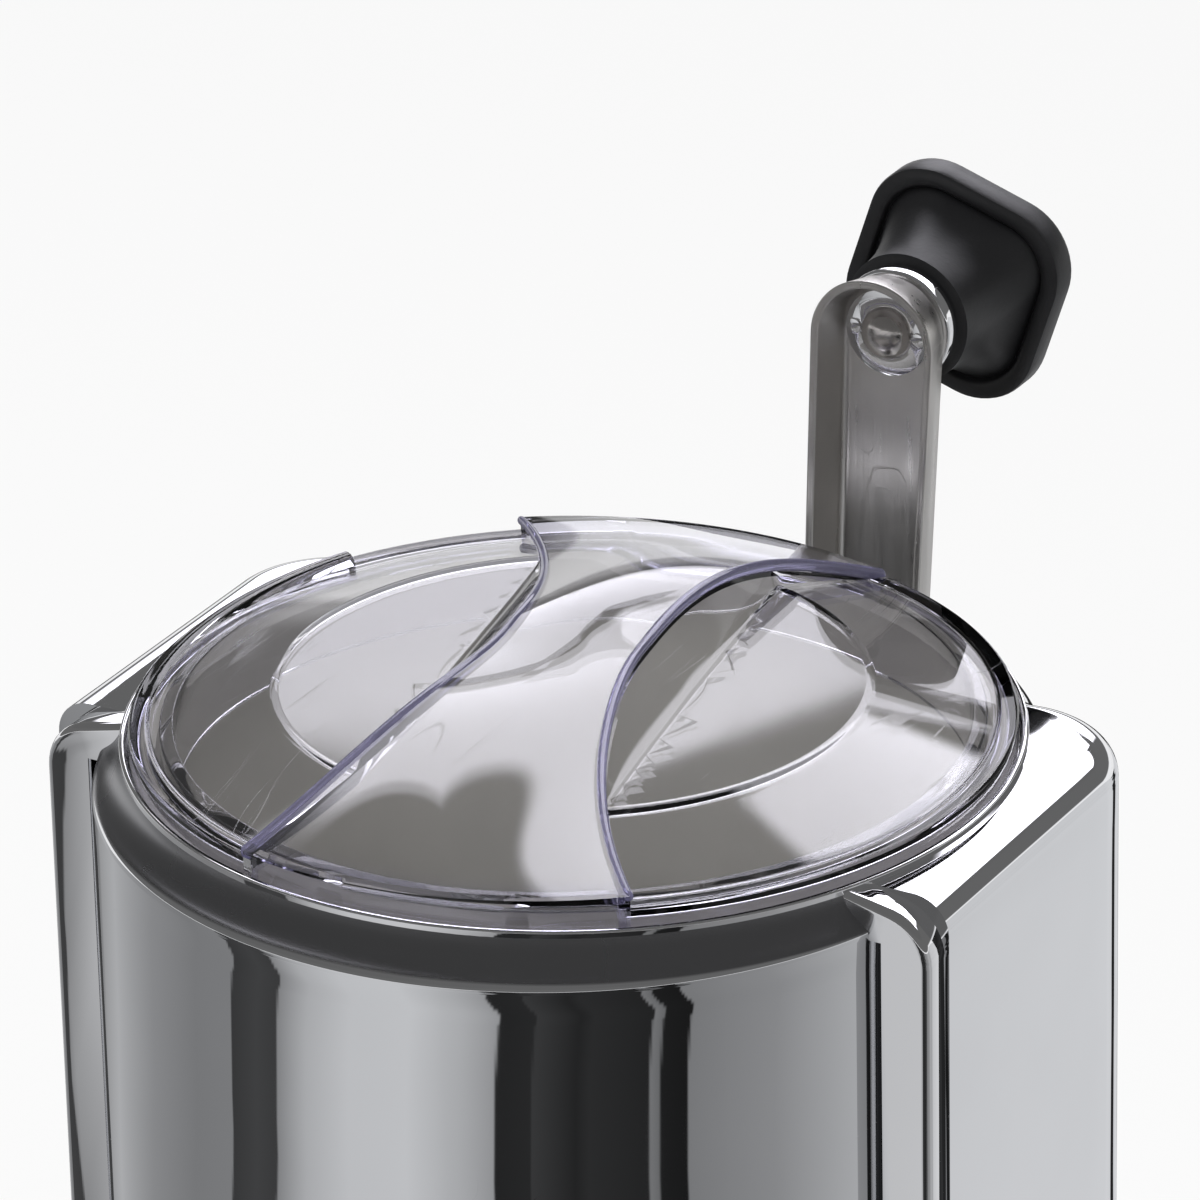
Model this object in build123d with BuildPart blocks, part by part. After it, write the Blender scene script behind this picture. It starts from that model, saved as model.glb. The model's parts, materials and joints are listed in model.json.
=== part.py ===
from build123d import *
from math import cos, hypot, pi, radians, sin, sqrt
import os

# Hand crank ice crusher: a lobed chrome tower with a clear lid that lifts off, a rotor of toothed
# blades between two fixed combs, a clear ice container in the foot, and a crank at the back.
# Millimetres. The origin is on the table under the tower's axis. Front is -Y, the crank is at +Y.

os.makedirs("parts", exist_ok=True)

# Driving dimensions
lid_radius = 58.0
body_top = 218.0  # plane where the lid's rim meets the chrome lip
body_foot = 5.0  # lower edge of the chrome shells
wall = 2.5  # moulded shell wall
axle_height = 138.0
crank_length = 107.0  # from the axle to the knob's pin
crank_lean = 2.7  # degrees from upright, towards +X

# Plan of the tower
side_half_width = 66.0
seam_y = -21.5  # where the front shell meets the rear shell
front_lobe_radius = 61.6
front_lobe_y = -2.7  # centre of the front lobe's arc
rear_lobe_radius = 61.9
corner_radius = 15.0
corner_centre = (51.0, 23.0)
shoulder = 5.0  # rounding of the side and rear lobes' top edge
lip_radius = 59.3  # outside of the chrome lip
deck_roof = body_top - 4.2  # underside of the shells' top deck
shell_top = body_top - 0.4
return_half_gap = 54.5  # the shells' return flanges start this far from the middle

# Trim strips over the seams
trim_inner_x = 58.7
trim_outer_x = 65.4
trim_depth = 4.5

# Bay in the foot
arch_half_width = 46.0
arch_top = 88.0
arch_corner = 30.0
base_thickness = 3.5
bay_floor = body_foot + base_thickness
deck_height = 92.0  # the inner deck lies on the shells' ledges here
deck_thickness = 3.0
ledge_width = 4.5
ledge_thickness = 2.5
fit_gap = 0.2

# Crushing chamber
chamber_foot = deck_height + deck_thickness
chamber_top = 168.0
chamber_half_x = 36.0
chamber_half_y = 38.0
comb_thickness = 4.0
plate_thickness = 3.0
blade_radius = 27.0
blade_root = 12.0
blade_pitch = 14.0
blade_thickness = 2.5
blade_count = 5
blade_teeth = 3
finger_width = 4.0
finger_tip_x = 13.0
hex_apothem = 4.8
spacer_radius = 9.0
shaft_radius = 4.5
running_gap = 0.05
end_play = 0.35

# Crank
arm_back = 81.2  # outer face of the arm's web
arm_depth = 7.2
arm_sheet = 1.2
arm_top_radius = 9.3
arm_foot_radius = 8.2
arm_splay = 12.0  # degrees
hub_start = 67.0
square_drive = 5.8
stud_radius = 2.5
pin_radius = 2.5
knob_side = 30.0
knob_turn = 16.0  # degrees, clockwise seen from the front
knob_start = 84.3
knob_flange = 97.6
knob_end = 105.0

# Lid
disc_radius = 38.7
disc_rise = 7.3
rim_rise = 2.0
lid_wall = 2.1
ledge_drop = 2.0  # the lid rests this far below the lip
grip_axis = 100.0  # degrees, direction of the grip in plan
grip_crown = 13.4
grip_rim = 3.8
grip_twist = 1.9
grip_foot = 16.5  # half the grip's width where it stands on the flat disc
ridge_centre = 99.1  # each ridge is an arc of ridge_radius about a point this far to one side
ridge_radius = 89.8
bead_start = 152.0  # degrees, square end of the raised bead on the left part of the rim
bead_sweep = 60.0  # the bead sinks into the rim over this many degrees
bead_tilt = 3.0
band_width = 1.5  # flat band round the rim
band_rise = 0.5

# Ice container
container_gap = 1.2
container_wall = 2.0
container_back = 36.0
container_top = 72.0


def front_outline(inset=0.0):
    """Front lobe in plan, closed along the seam."""
    radius = front_lobe_radius - inset
    seam = seam_y - inset
    half = sqrt(radius**2 - (seam - front_lobe_y) ** 2)
    with BuildSketch() as outline:
        with BuildLine():
            ThreePointArc((-half, seam), (0, front_lobe_y - radius), (half, seam))
            Line((half, seam), (-half, seam))
        make_face()
    return outline.sketch


def rear_outline(inset=0.0):
    """Both side lobes and the rear lobe in plan, closed along the seam."""
    seam = seam_y + inset
    side = side_half_width - inset
    with BuildSketch() as outline:
        with Locations((0, (seam + corner_centre[1]) / 2)):
            Rectangle(2 * side, corner_centre[1] - seam)
        with Locations(corner_centre, (-corner_centre[0], corner_centre[1])):
            Circle(corner_radius - inset)
        with Locations((0, corner_centre[1])):
            Rectangle(2 * corner_centre[0], 0.2)
        with BuildLine():
            rear_half = sqrt((rear_lobe_radius - inset) ** 2 - corner_centre[1] ** 2)
            ThreePointArc(
                (rear_half, corner_centre[1]),
                (0, rear_lobe_radius - inset),
                (-rear_half, corner_centre[1]),
            )
            Line((-rear_half, corner_centre[1]), (rear_half, corner_centre[1]))
        make_face()
    return outline.sketch


def tower_outline(inset):
    """The whole tower in plan, for the plates that lie inside both shells."""
    with BuildSketch() as outline:
        add(front_outline(inset))
        add(rear_outline(inset))
        with Locations((0, seam_y)):
            Rectangle(2 * (return_half_gap - fit_gap), 2 * wall + 2)
    return outline.sketch


def arch_outline(inset=0.0):
    """The bay's arched mouth, seen from the front."""
    half = arch_half_width - inset
    corner = arch_corner - inset
    with BuildSketch() as outline:
        with Locations((0, bay_floor)):
            Rectangle(2 * half, arch_top - inset - bay_floor, align=(Align.CENTER, Align.MIN))
        fillet(outline.vertices().group_by(Axis.Y)[-1], corner)
    return outline.sketch


def level(height):
    return Plane.XY.offset(height)


def facing_back(y):
    """Plane across the crank's axis whose normal points to the back."""
    return Plane(origin=(0, y, axle_height), x_dir=(-1, 0, 0), z_dir=(0, 1, 0))


def crank_plane(y, turn=0.0):
    """Plane across the crank's axis, leaning with the crank and turned further clockwise."""
    lean = radians(crank_lean)
    angle = radians(crank_lean + turn)
    origin = (0, y, axle_height)
    if turn:
        origin = (crank_length * sin(lean), y, axle_height + crank_length * cos(lean))
    return Plane(origin=origin, x_dir=(-cos(angle), 0, sin(angle)), z_dir=(0, 1, 0))


# ---- Chrome tower

boss_radius = 4.0
boss_top = 26.0
pilot_radius = 1.2
deck_head_radius = 2.1
front_bosses = ((-50.2, -27.4), (50.2, -27.4))
rear_bosses = ((-59.8, 12.0), (59.8, 12.0))
front_deck_screws = ((-28.4, -51.9), (28.4, -51.9))
rear_deck_screws = ((-61.0, 5.0), (61.0, 5.0))
collar_drop = 4.9  # the front lobe's top lies this far under the lip
collar_width = 5.2
collar_hollow = 6.5  # radius of the concave collar
collar_foot = body_top - 12.0

with BuildPart() as front_shell:
    with BuildSketch(level(body_foot)):
        add(front_outline())
    extrude(amount=shell_top - body_foot)
    # concave collar between the lip and the lobe
    with BuildSketch(Plane.XZ):
        with BuildLine():
            Polyline(
                (lip_radius, shell_top),
                (lip_radius, body_top + 1),
                (2 * lid_radius, body_top + 1),
                (2 * lid_radius, body_top - collar_drop),
                (lip_radius + collar_width, body_top - collar_drop),
            )
            RadiusArc(
                (lip_radius + collar_width, body_top - collar_drop),
                (lip_radius, shell_top),
                collar_hollow,
            )
        make_face()
    revolve(axis=Axis.Z, mode=Mode.SUBTRACT)
    collar_edges = front_shell.edges().filter_by(
        lambda e: deck_roof - 3 < e.center().Z < deck_roof + 3 and e.center().Y < seam_y - 5
    )
    fillet(collar_edges, 1.0)
    with BuildSketch(level(body_foot)):
        add(front_outline(wall))
    extrude(amount=deck_roof - body_foot, mode=Mode.SUBTRACT)
    # open seam side, between two short return flanges
    with BuildSketch(level(body_foot)):
        with Locations((0, seam_y)):
            Rectangle(2 * return_half_gap, 3 * wall)
    extrude(amount=shell_top, mode=Mode.SUBTRACT)
    with BuildSketch(level(collar_foot)):
        Circle(lip_radius)
    extrude(amount=2 * lid_radius, mode=Mode.SUBTRACT)
    # slots for the tops of the trim strips
    with BuildSketch(level(deck_roof - 1.8)):
        with Locations((-lid_radius, seam_y - trim_depth / 2), (lid_radius, seam_y - trim_depth / 2)):
            Rectangle(16, trim_depth + 0.1)
    extrude(amount=20, mode=Mode.SUBTRACT)
    # ledge under the inner deck
    with BuildSketch(level(deck_height - ledge_thickness)):
        add(front_outline(wall - 0.1))
        with Locations((0, front_lobe_y)):
            Circle(front_lobe_radius - wall - ledge_width, mode=Mode.SUBTRACT)
    extrude(amount=ledge_thickness)
    with BuildSketch(level(bay_floor)):
        with Locations(*front_bosses):
            Circle(boss_radius)
    extrude(amount=boss_top - bay_floor)
    with BuildSketch(Plane.XZ):
        add(arch_outline())
    extrude(amount=2 * lid_radius, mode=Mode.SUBTRACT)
    with Locations(*[(x, y, deck_height) for x, y in front_deck_screws]):
        Hole(pilot_radius, depth=ledge_thickness)
    with Locations(*[(x, y, boss_top) for x, y in front_bosses]):
        Hole(pilot_radius, depth=boss_top - bay_floor)
front_shell.part.label = "front_shell"
export_step(front_shell.part, "parts/front_shell.step")

moulded_boss_radius = 15.0
moulded_boss_face = 64.0

with BuildPart() as rear_shell:
    with BuildSketch(level(body_foot)):
        add(rear_outline())
    extrude(amount=shell_top - body_foot)
    shoulder_edges = rear_shell.edges().group_by(Axis.Z)[-1].filter_by(lambda e: e.center().Y > seam_y + 1)
    fillet(shoulder_edges, shoulder)
    with BuildSketch(facing_back(rear_lobe_radius - wall)):
        Circle(moulded_boss_radius)
    extrude(amount=moulded_boss_face - rear_lobe_radius + wall)
    with BuildSketch(level(body_foot)):
        add(rear_outline(wall))
    extrude(amount=deck_roof - body_foot, mode=Mode.SUBTRACT)
    with BuildSketch(level(body_foot)):
        with Locations((0, seam_y)):
            Rectangle(2 * return_half_gap, 3 * wall)
    extrude(amount=shell_top, mode=Mode.SUBTRACT)
    with BuildSketch(level(collar_foot)):
        Circle(lip_radius)
    extrude(amount=2 * lid_radius, mode=Mode.SUBTRACT)
    with BuildSketch(level(deck_height - ledge_thickness)):
        add(rear_outline(wall - 0.1))
        add(rear_outline(wall + ledge_width), mode=Mode.SUBTRACT)
        with Locations((0, seam_y)):
            Rectangle(2 * (side_half_width - wall - ledge_width), 4 * ledge_width, mode=Mode.SUBTRACT)
    extrude(amount=ledge_thickness)
    with BuildSketch(level(bay_floor)):
        with Locations(*rear_bosses):
            Circle(boss_radius)
    extrude(amount=boss_top - bay_floor)
    with BuildSketch(facing_back(rear_lobe_radius - 3 * wall)):
        Circle(shaft_radius + 1.5)
    extrude(amount=moulded_boss_face, mode=Mode.SUBTRACT)
    with Locations(*[(x, y, deck_height) for x, y in rear_deck_screws]):
        Hole(pilot_radius, depth=ledge_thickness)
    with Locations(*[(x, y, boss_top) for x, y in rear_bosses]):
        Hole(pilot_radius, depth=boss_top - bay_floor)
rear_shell.part.label = "rear_shell"
export_step(rear_shell.part, "parts/rear_shell.step")

# Each trim strip stands in the step between two lobes and bends over the deck to the lip
with BuildPart() as trim_strip_right:
    with BuildSketch(Plane.XZ.offset(-seam_y)):
        with BuildLine():
            Polyline(
                (lip_radius - 10, deck_roof - 1.7),
                (trim_inner_x, deck_roof - 1.7),
                (trim_inner_x, body_foot),
                (trim_outer_x, body_foot),
                (trim_outer_x, body_top - 8.5),
            )
            ThreePointArc(
                (trim_outer_x, body_top - 8.5),
                (trim_outer_x - 1.5, body_top - 4.0),
                (trim_outer_x - 5.4, body_top - 1.4),
            )
            Polyline(
                (trim_outer_x - 5.4, body_top - 1.4),
                (lip_radius - 10, body_top + 1.2),
                (lip_radius - 10, deck_roof - 1.7),
            )
        make_face()
    extrude(amount=trim_depth)
    fillet(trim_strip_right.edges().filter_by(Axis.Z).group_by(Axis.X)[-1].sort_by(Axis.Y)[0], 1.2)
    with BuildSketch(level(deck_roof - 5)):
        Circle(lip_radius)
    extrude(amount=20, mode=Mode.SUBTRACT)
trim_strip_right.part.label = "trim_strip_right"
export_step(trim_strip_right.part, "parts/trim_strip_right.step")

with BuildPart() as trim_strip_left:
    mirror(trim_strip_right.part, about=Plane.YZ)
trim_strip_left.part.label = "trim_strip_left"
export_step(trim_strip_left.part, "parts/trim_strip_left.step")

liner_radius = 56.4
liner_wall = 2.2
lip_inner = lid_radius + 0.4
lid_seat = body_top - ledge_drop

with BuildPart() as top_collar:
    with BuildSketch(Plane.XZ):
        with BuildLine():
            Polyline(
                (liner_radius, collar_foot),
                (lip_radius, collar_foot),
                (lip_radius, body_top),
                (lip_radius - 0.4, body_top + 0.4),
                (lip_inner, body_top + 0.4),
                (lip_inner, lid_seat),
                (liner_radius, lid_seat),
                (liner_radius, collar_foot),
            )
        make_face()
    revolve(axis=Axis.Z)
top_collar.part.label = "top_collar"
export_step(top_collar.part, "parts/top_collar.step")

# ---- Hopper and crushing chamber

throat_radius = 36.0
flange_thickness = 3.0
flange_half_x = chamber_half_x + comb_thickness + 1
flange_half_y = chamber_half_y + plate_thickness + 3
hopper_screw_points = [(x, y) for x in (-30, 30) for y in (-39.5, 39.5)]
small_screw_radius = 1.2
small_head_radius = 2.4
small_head_height = 1.6
flange_top = chamber_top + flange_thickness

with BuildPart() as hopper_liner:
    with BuildSketch(Plane.XZ):
        with BuildLine():
            Polyline(
                (throat_radius, flange_top - 0.5),
                (throat_radius + 0.5 + liner_wall, flange_top - 0.5),
                (liner_radius, collar_foot),
                (liner_radius, lid_seat),
                (liner_radius - liner_wall, lid_seat),
                (liner_radius - liner_wall, collar_foot + 0.6),
                (throat_radius, flange_top + 0.5),
                (throat_radius, flange_top - 0.5),
            )
        make_face()
    revolve(axis=Axis.Z)
    with BuildSketch(level(chamber_top)):
        RectangleRounded(2 * flange_half_x, 2 * flange_half_y, 4)
        Circle(throat_radius, mode=Mode.SUBTRACT)
    extrude(amount=flange_thickness)
    with Locations(*[(x, y, flange_top) for x, y in hopper_screw_points]):
        Hole(small_screw_radius, depth=flange_thickness)
hopper_liner.part.label = "hopper_liner"
export_step(hopper_liner.part, "parts/hopper_liner.step")

bush_radius = 8.0
bush_flange_radius = 10.5
bush_flange = 2.0
chamber_screw_x = chamber_half_x + comb_thickness / 2
chamber_screw_heights = (chamber_foot + 9, chamber_top - 9)
plate_outer_y = chamber_half_y + plate_thickness
screw_reach = 8.0
side_screw_points = [(x, z - axle_height) for x in (-chamber_screw_x, chamber_screw_x) for z in chamber_screw_heights]

with BuildPart() as rear_bearing_plate:
    with BuildSketch(facing_back(chamber_half_y)):
        with Locations((0, (chamber_foot + chamber_top) / 2 - axle_height)):
            RectangleRounded(2 * (chamber_half_x + comb_thickness), chamber_top - chamber_foot, 2)
        Circle(bush_radius, mode=Mode.SUBTRACT)
        with Locations(*side_screw_points):
            Circle(small_screw_radius, mode=Mode.SUBTRACT)
    extrude(amount=plate_thickness)
    with Locations(*[(x, plate_outer_y - 1.5, chamber_top) for x in (-30, 30)]):
        Hole(small_screw_radius, depth=screw_reach)
rear_bearing_plate.part.label = "rear_bearing_plate"
export_step(rear_bearing_plate.part, "parts/rear_bearing_plate.step")

with BuildPart() as front_bearing_plate:
    mirror(rear_bearing_plate.part, about=Plane.XZ)
front_bearing_plate.part.label = "front_bearing_plate"
export_step(front_bearing_plate.part, "parts/front_bearing_plate.step")

finger_ys = [blade_pitch * (i - (blade_count - 2) / 2) for i in range(blade_count - 1)]

with BuildPart() as comb_right:
    with BuildSketch(Plane.XZ.offset(-chamber_half_y)):
        with Locations((chamber_half_x, chamber_foot)):
            Rectangle(comb_thickness, chamber_top - chamber_foot, align=(Align.MIN, Align.MIN))
    extrude(amount=2 * chamber_half_y)
    for finger_y in finger_ys:
        with BuildSketch(Plane.XZ.offset(-finger_y - finger_width / 2)):
            with BuildLine():
                Polyline(
                    (chamber_half_x + 0.5, axle_height + 22),
                    (chamber_half_x + 0.5, axle_height - 16),
                    (finger_tip_x + 2, axle_height - 5),
                )
                RadiusArc((finger_tip_x + 2, axle_height - 5), (finger_tip_x, axle_height + 2), 5)
                Line((finger_tip_x, axle_height + 2), (chamber_half_x + 0.5, axle_height + 22))
            make_face()
        extrude(amount=finger_width)
    with BuildSketch(Plane.XZ.offset(-chamber_half_y)):
        with Locations(*[(chamber_screw_x, z) for z in chamber_screw_heights]):
            Circle(small_screw_radius)
    extrude(amount=screw_reach, mode=Mode.SUBTRACT)
    with BuildSketch(Plane.XZ.offset(chamber_half_y)):
        with Locations(*[(chamber_screw_x, z) for z in chamber_screw_heights]):
            Circle(small_screw_radius)
    extrude(amount=-screw_reach, mode=Mode.SUBTRACT)
comb_right.part.label = "comb_right"
export_step(comb_right.part, "parts/comb_right.step")

with BuildPart() as comb_left:
    mirror(comb_right.part, about=Plane.YZ)
comb_left.part.label = "comb_left"
export_step(comb_left.part, "parts/comb_left.step")

with BuildPart() as chamber_screws:
    for end in (1, -1):
        shank_plane = Plane(origin=(0, end * plate_outer_y, axle_height), x_dir=(end, 0, 0), z_dir=(0, -end, 0))
        with BuildSketch(shank_plane):
            with Locations(*side_screw_points):
                Circle(small_screw_radius)
        extrude(amount=plate_thickness + screw_reach)
        with BuildSketch(shank_plane):
            with Locations(*side_screw_points):
                Circle(small_head_radius)
        extrude(amount=-small_head_height)
chamber_screws.part.label = "chamber_screws"
export_step(chamber_screws.part, "parts/chamber_screws.step")

with BuildPart() as hopper_screws:
    with BuildSketch(level(flange_top)):
        with Locations(*hopper_screw_points):
            Circle(small_screw_radius)
    extrude(amount=-flange_thickness - screw_reach)
    with BuildSketch(level(flange_top)):
        with Locations(*hopper_screw_points):
            Circle(small_head_radius)
    extrude(amount=small_head_height)
hopper_screws.part.label = "hopper_screws"
export_step(hopper_screws.part, "parts/hopper_screws.step")

with BuildPart() as rear_bush:
    with BuildSketch(facing_back(chamber_half_y)):
        Circle(bush_radius)
    extrude(amount=plate_thickness)
    with BuildSketch(facing_back(plate_outer_y)):
        Circle(bush_flange_radius)
    extrude(amount=bush_flange)
    with BuildSketch(facing_back(chamber_half_y)):
        Circle(shaft_radius + running_gap)
    extrude(amount=plate_thickness + bush_flange, mode=Mode.SUBTRACT)
rear_bush.part.label = "rear_bush"
export_step(rear_bush.part, "parts/rear_bush.step")

with BuildPart() as front_bush:
    mirror(rear_bush.part, about=Plane.XZ)
front_bush.part.label = "front_bush"
export_step(front_bush.part, "parts/front_bush.step")

# ---- Rotor

hex_radius = hex_apothem / cos(pi / 6)
hex_half_length = chamber_half_y - end_play
shaft_front = plate_outer_y + bush_flange + 3.2
clip_groove = plate_outer_y + bush_flange + end_play
clip_thickness = 1.0
clip_groove_radius = shaft_radius - 0.8
stud_end = arm_back + 5.2

with BuildPart() as rotor_shaft:
    with BuildSketch(facing_back(-shaft_front)):
        Circle(shaft_radius)
    extrude(amount=shaft_front + hub_start)
    with BuildSketch(facing_back(-hex_half_length)):
        RegularPolygon(hex_radius, 6)
    extrude(amount=2 * hex_half_length)
    with BuildSketch(facing_back(hub_start)):
        Rectangle(square_drive, square_drive, rotation=crank_lean)
    extrude(amount=arm_back - hub_start)
    with BuildSketch(facing_back(arm_back)):
        Circle(stud_radius)
    extrude(amount=stud_end - arm_back)
    with BuildSketch(facing_back(-clip_groove)):
        Circle(shaft_radius + 1)
        Circle(clip_groove_radius, mode=Mode.SUBTRACT)
    extrude(amount=-clip_thickness, mode=Mode.SUBTRACT)
    chamfer(rotor_shaft.faces().sort_by(Axis.Y)[0].edges(), 0.8)
rotor_shaft.part.label = "rotor_shaft"
export_step(rotor_shaft.part, "parts/rotor_shaft.step")

with BuildPart() as shaft_clip:
    with BuildSketch(facing_back(-clip_groove)):
        Circle(shaft_radius + 2.6)
        Circle(clip_groove_radius, mode=Mode.SUBTRACT)
        with Locations((0, -shaft_radius)):
            Rectangle(1.7 * clip_groove_radius, 2 * shaft_radius, mode=Mode.SUBTRACT)
    extrude(amount=-clip_thickness)
shaft_clip.part.label = "shaft_clip"
export_step(shaft_clip.part, "parts/shaft_clip.step")

with BuildSketch() as tooth:
    with BuildLine():
        # hooked leading side, straight tip, bellied back
        lead_root = (blade_root - 2, -3.5)
        lead_tip = (blade_radius * cos(radians(10)), blade_radius * sin(radians(10)))
        back_tip = ((blade_radius - 3) * cos(radians(24)), (blade_radius - 3) * sin(radians(24)))
        back_root = (1.0, blade_root - 0.5)
        RadiusArc(lead_root, lead_tip, 24)
        Line(lead_tip, back_tip)
        RadiusArc(back_tip, back_root, 22)
        Line(back_root, lead_root)
    make_face()

for i in range(blade_count):
    blade_y = blade_pitch * (i - (blade_count - 1) / 2)
    turned = 180 / blade_teeth * (i % 2)  # alternate blades sit half a tooth further round
    with BuildPart() as ice_blade:
        with BuildSketch(facing_back(blade_y - blade_thickness / 2)):
            Circle(blade_root)
            with PolarLocations(0, blade_teeth, start_angle=turned):
                add(tooth.sketch)
            RegularPolygon(hex_radius, 6, mode=Mode.SUBTRACT)
        extrude(amount=blade_thickness)
    ice_blade.part.label = f"ice_blade_{i + 1}"
    export_step(ice_blade.part, f"parts/ice_blade_{i + 1}.step")

# one spacer on each side of every blade gap, shorter ones at the two ends
for i in range(blade_count + 1):
    gap_start = max(blade_pitch * (i - (blade_count + 1) / 2) + blade_thickness / 2, -hex_half_length)
    gap_end = min(blade_pitch * (i - (blade_count - 1) / 2) - blade_thickness / 2, hex_half_length)
    with BuildPart() as blade_spacer:
        with BuildSketch(facing_back(gap_start)):
            Circle(spacer_radius)
            RegularPolygon(hex_radius, 6, mode=Mode.SUBTRACT)
        extrude(amount=gap_end - gap_start)
    blade_spacer.part.label = f"blade_spacer_{i + 1}"
    export_step(blade_spacer.part, f"parts/blade_spacer_{i + 1}.step")

escutcheon_radius = 13.0

with BuildPart() as boss_escutcheon:
    with BuildSketch(facing_back(moulded_boss_face)):
        Circle(escutcheon_radius)
        Circle(shaft_radius + 0.5, mode=Mode.SUBTRACT)
    extrude(amount=hub_start - moulded_boss_face - end_play)
    chamfer(boss_escutcheon.faces().sort_by(Axis.Y)[-1].edges().sort_by(SortBy.LENGTH)[-1], 1.2)
boss_escutcheon.part.label = "boss_escutcheon"
export_step(boss_escutcheon.part, "parts/boss_escutcheon.step")

# ---- Crank

web_inner = arm_back - arm_sheet
arm_front = arm_back - arm_depth
hub_nose_radius = 5.1

with BuildPart() as crank_hub:
    with BuildSketch(facing_back(hub_start)):
        Circle(spacer_radius)
    extrude(amount=arm_front - 0.4 - hub_start)
    chamfer(crank_hub.edges().filter_by(GeomType.CIRCLE), 0.6)
    with BuildSketch(facing_back(arm_front - 0.4)):
        Circle(hub_nose_radius)
    extrude(amount=web_inner - arm_front + 0.4)
    with BuildSketch(facing_back(hub_start)):
        Rectangle(square_drive, square_drive, rotation=crank_lean)
    extrude(amount=web_inner - hub_start, mode=Mode.SUBTRACT)
crank_hub.part.label = "crank_hub"
export_step(crank_hub.part, "parts/crank_hub.step")

# Pressed channel, open towards the tower, with its flange carried round both ends
with BuildPart() as crank_arm:
    with BuildSketch(crank_plane(arm_front)):
        Circle(arm_foot_radius)
        with Locations((0, crank_length)):
            Circle(arm_top_radius)
        make_hull()
    extrude(amount=arm_depth, taper=arm_splay)
    fillet(crank_arm.faces().sort_by(Axis.Y)[-1].edges(), 1.6)
    with BuildSketch(crank_plane(arm_front)):
        Circle(arm_foot_radius - arm_sheet)
        with Locations((0, crank_length)):
            Circle(arm_top_radius - arm_sheet)
        make_hull()
    extrude(amount=arm_depth - arm_sheet, taper=arm_splay, mode=Mode.SUBTRACT)
    with BuildSketch(crank_plane(web_inner - 1)):
        Rectangle(square_drive, square_drive)
        with Locations((0, crank_length)):
            Circle(pin_radius)
    extrude(amount=2 * arm_sheet + 1, mode=Mode.SUBTRACT)
crank_arm.part.label = "crank_arm"
export_step(crank_arm.part, "parts/crank_arm.step")

nut_hex = 4.8
nut_height = 4.0
dome_height = 3.6
dome_radius = nut_hex * cos(pi / 6) - 0.3

with BuildPart() as crank_cap_nut:
    with BuildSketch(facing_back(arm_back)):
        RegularPolygon(nut_hex, 6)
    extrude(amount=nut_height)
    with BuildSketch(Plane(origin=(0, arm_back + nut_height, axle_height), x_dir=(1, 0, 0), z_dir=(0, 0, 1))):
        with BuildLine():
            ball_centre = (dome_height**2 - dome_radius**2) / (2 * dome_height)
            ball_radius = dome_height - ball_centre
            Polyline((0, dome_height), (0, -1), (dome_radius, -1), (dome_radius, 0))
            ThreePointArc(
                (dome_radius, 0),
                (ball_radius * sin(0.7), ball_centre + ball_radius * cos(0.7)),
                (0, dome_height),
            )
        make_face()
    revolve(axis=Axis((0, 0, axle_height), (0, 1, 0)))
    with BuildSketch(facing_back(arm_back)):
        Circle(stud_radius)
    extrude(amount=stud_end - arm_back, mode=Mode.SUBTRACT)
crank_cap_nut.part.label = "crank_cap_nut"
export_step(crank_cap_nut.part, "parts/crank_cap_nut.step")

washer_thickness = 1.2
washer_radius = 6.2
head_radius = 3.8
head_height = 2.4
pin_end = 100.5
pin_flange_radius = 4.2
pin_flange = 1.5
washer_face = web_inner - washer_thickness

with BuildPart() as knob_washer:
    with BuildSketch(crank_plane(washer_face)):
        with Locations((0, crank_length)):
            Circle(washer_radius)
            Circle(pin_radius, mode=Mode.SUBTRACT)
    extrude(amount=washer_thickness)
    # two pressed lugs beside the rivet head
    with BuildSketch(crank_plane(washer_face - 0.5)):
        with Locations((-4.9, crank_length), (4.9, crank_length)):
            Circle(1.1)
    extrude(amount=1)
knob_washer.part.label = "knob_washer"
export_step(knob_washer.part, "parts/knob_washer.step")

pin_x = crank_length * sin(radians(crank_lean))
pin_z = axle_height + crank_length * cos(radians(crank_lean))

with BuildPart() as knob_pin:
    with BuildSketch(Plane(origin=(pin_x, washer_face, pin_z), x_dir=(1, 0, 0), z_dir=(0, 0, 1))):
        with BuildLine():
            shank_end = pin_end - washer_face
            ThreePointArc((0, -head_height), (0.75 * head_radius, -0.62 * head_height), (head_radius, 0))
            Polyline(
                (head_radius, 0),
                (pin_radius, 0),
                (pin_radius, shank_end - pin_flange),
                (pin_flange_radius, shank_end - pin_flange),
                (pin_flange_radius, shank_end),
                (0, shank_end),
                (0, -head_height),
            )
        make_face()
    revolve(axis=Axis((pin_x, 0, pin_z), (0, 1, 0)))
knob_pin.part.label = "knob_pin"
export_step(knob_pin.part, "parts/knob_pin.step")

ferrule_radius = 8.2

with BuildPart() as knob_ferrule:
    with BuildSketch(crank_plane(arm_back)):
        with Locations((0, crank_length)):
            Circle(ferrule_radius)
            Circle(pin_radius, mode=Mode.SUBTRACT)
    extrude(amount=knob_start - end_play - arm_back)
    chamfer(knob_ferrule.faces().sort_by(Axis.Y)[-1].edges().sort_by(SortBy.LENGTH)[-1], 0.6)
knob_ferrule.part.label = "knob_ferrule"
export_step(knob_ferrule.part, "parts/knob_ferrule.step")

# Trumpet-shaped knob: a round stem that flares into a rounded square flange with a raised border
stem_side = 18.6
flange_corner = 9.5
border_width = 2.6
border_height = 0.9
cap_radius = 7.0
cap_depth = 2.6
flare_end = knob_flange + border_height
flare_side = knob_side - 2 * border_width - 0.6

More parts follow.
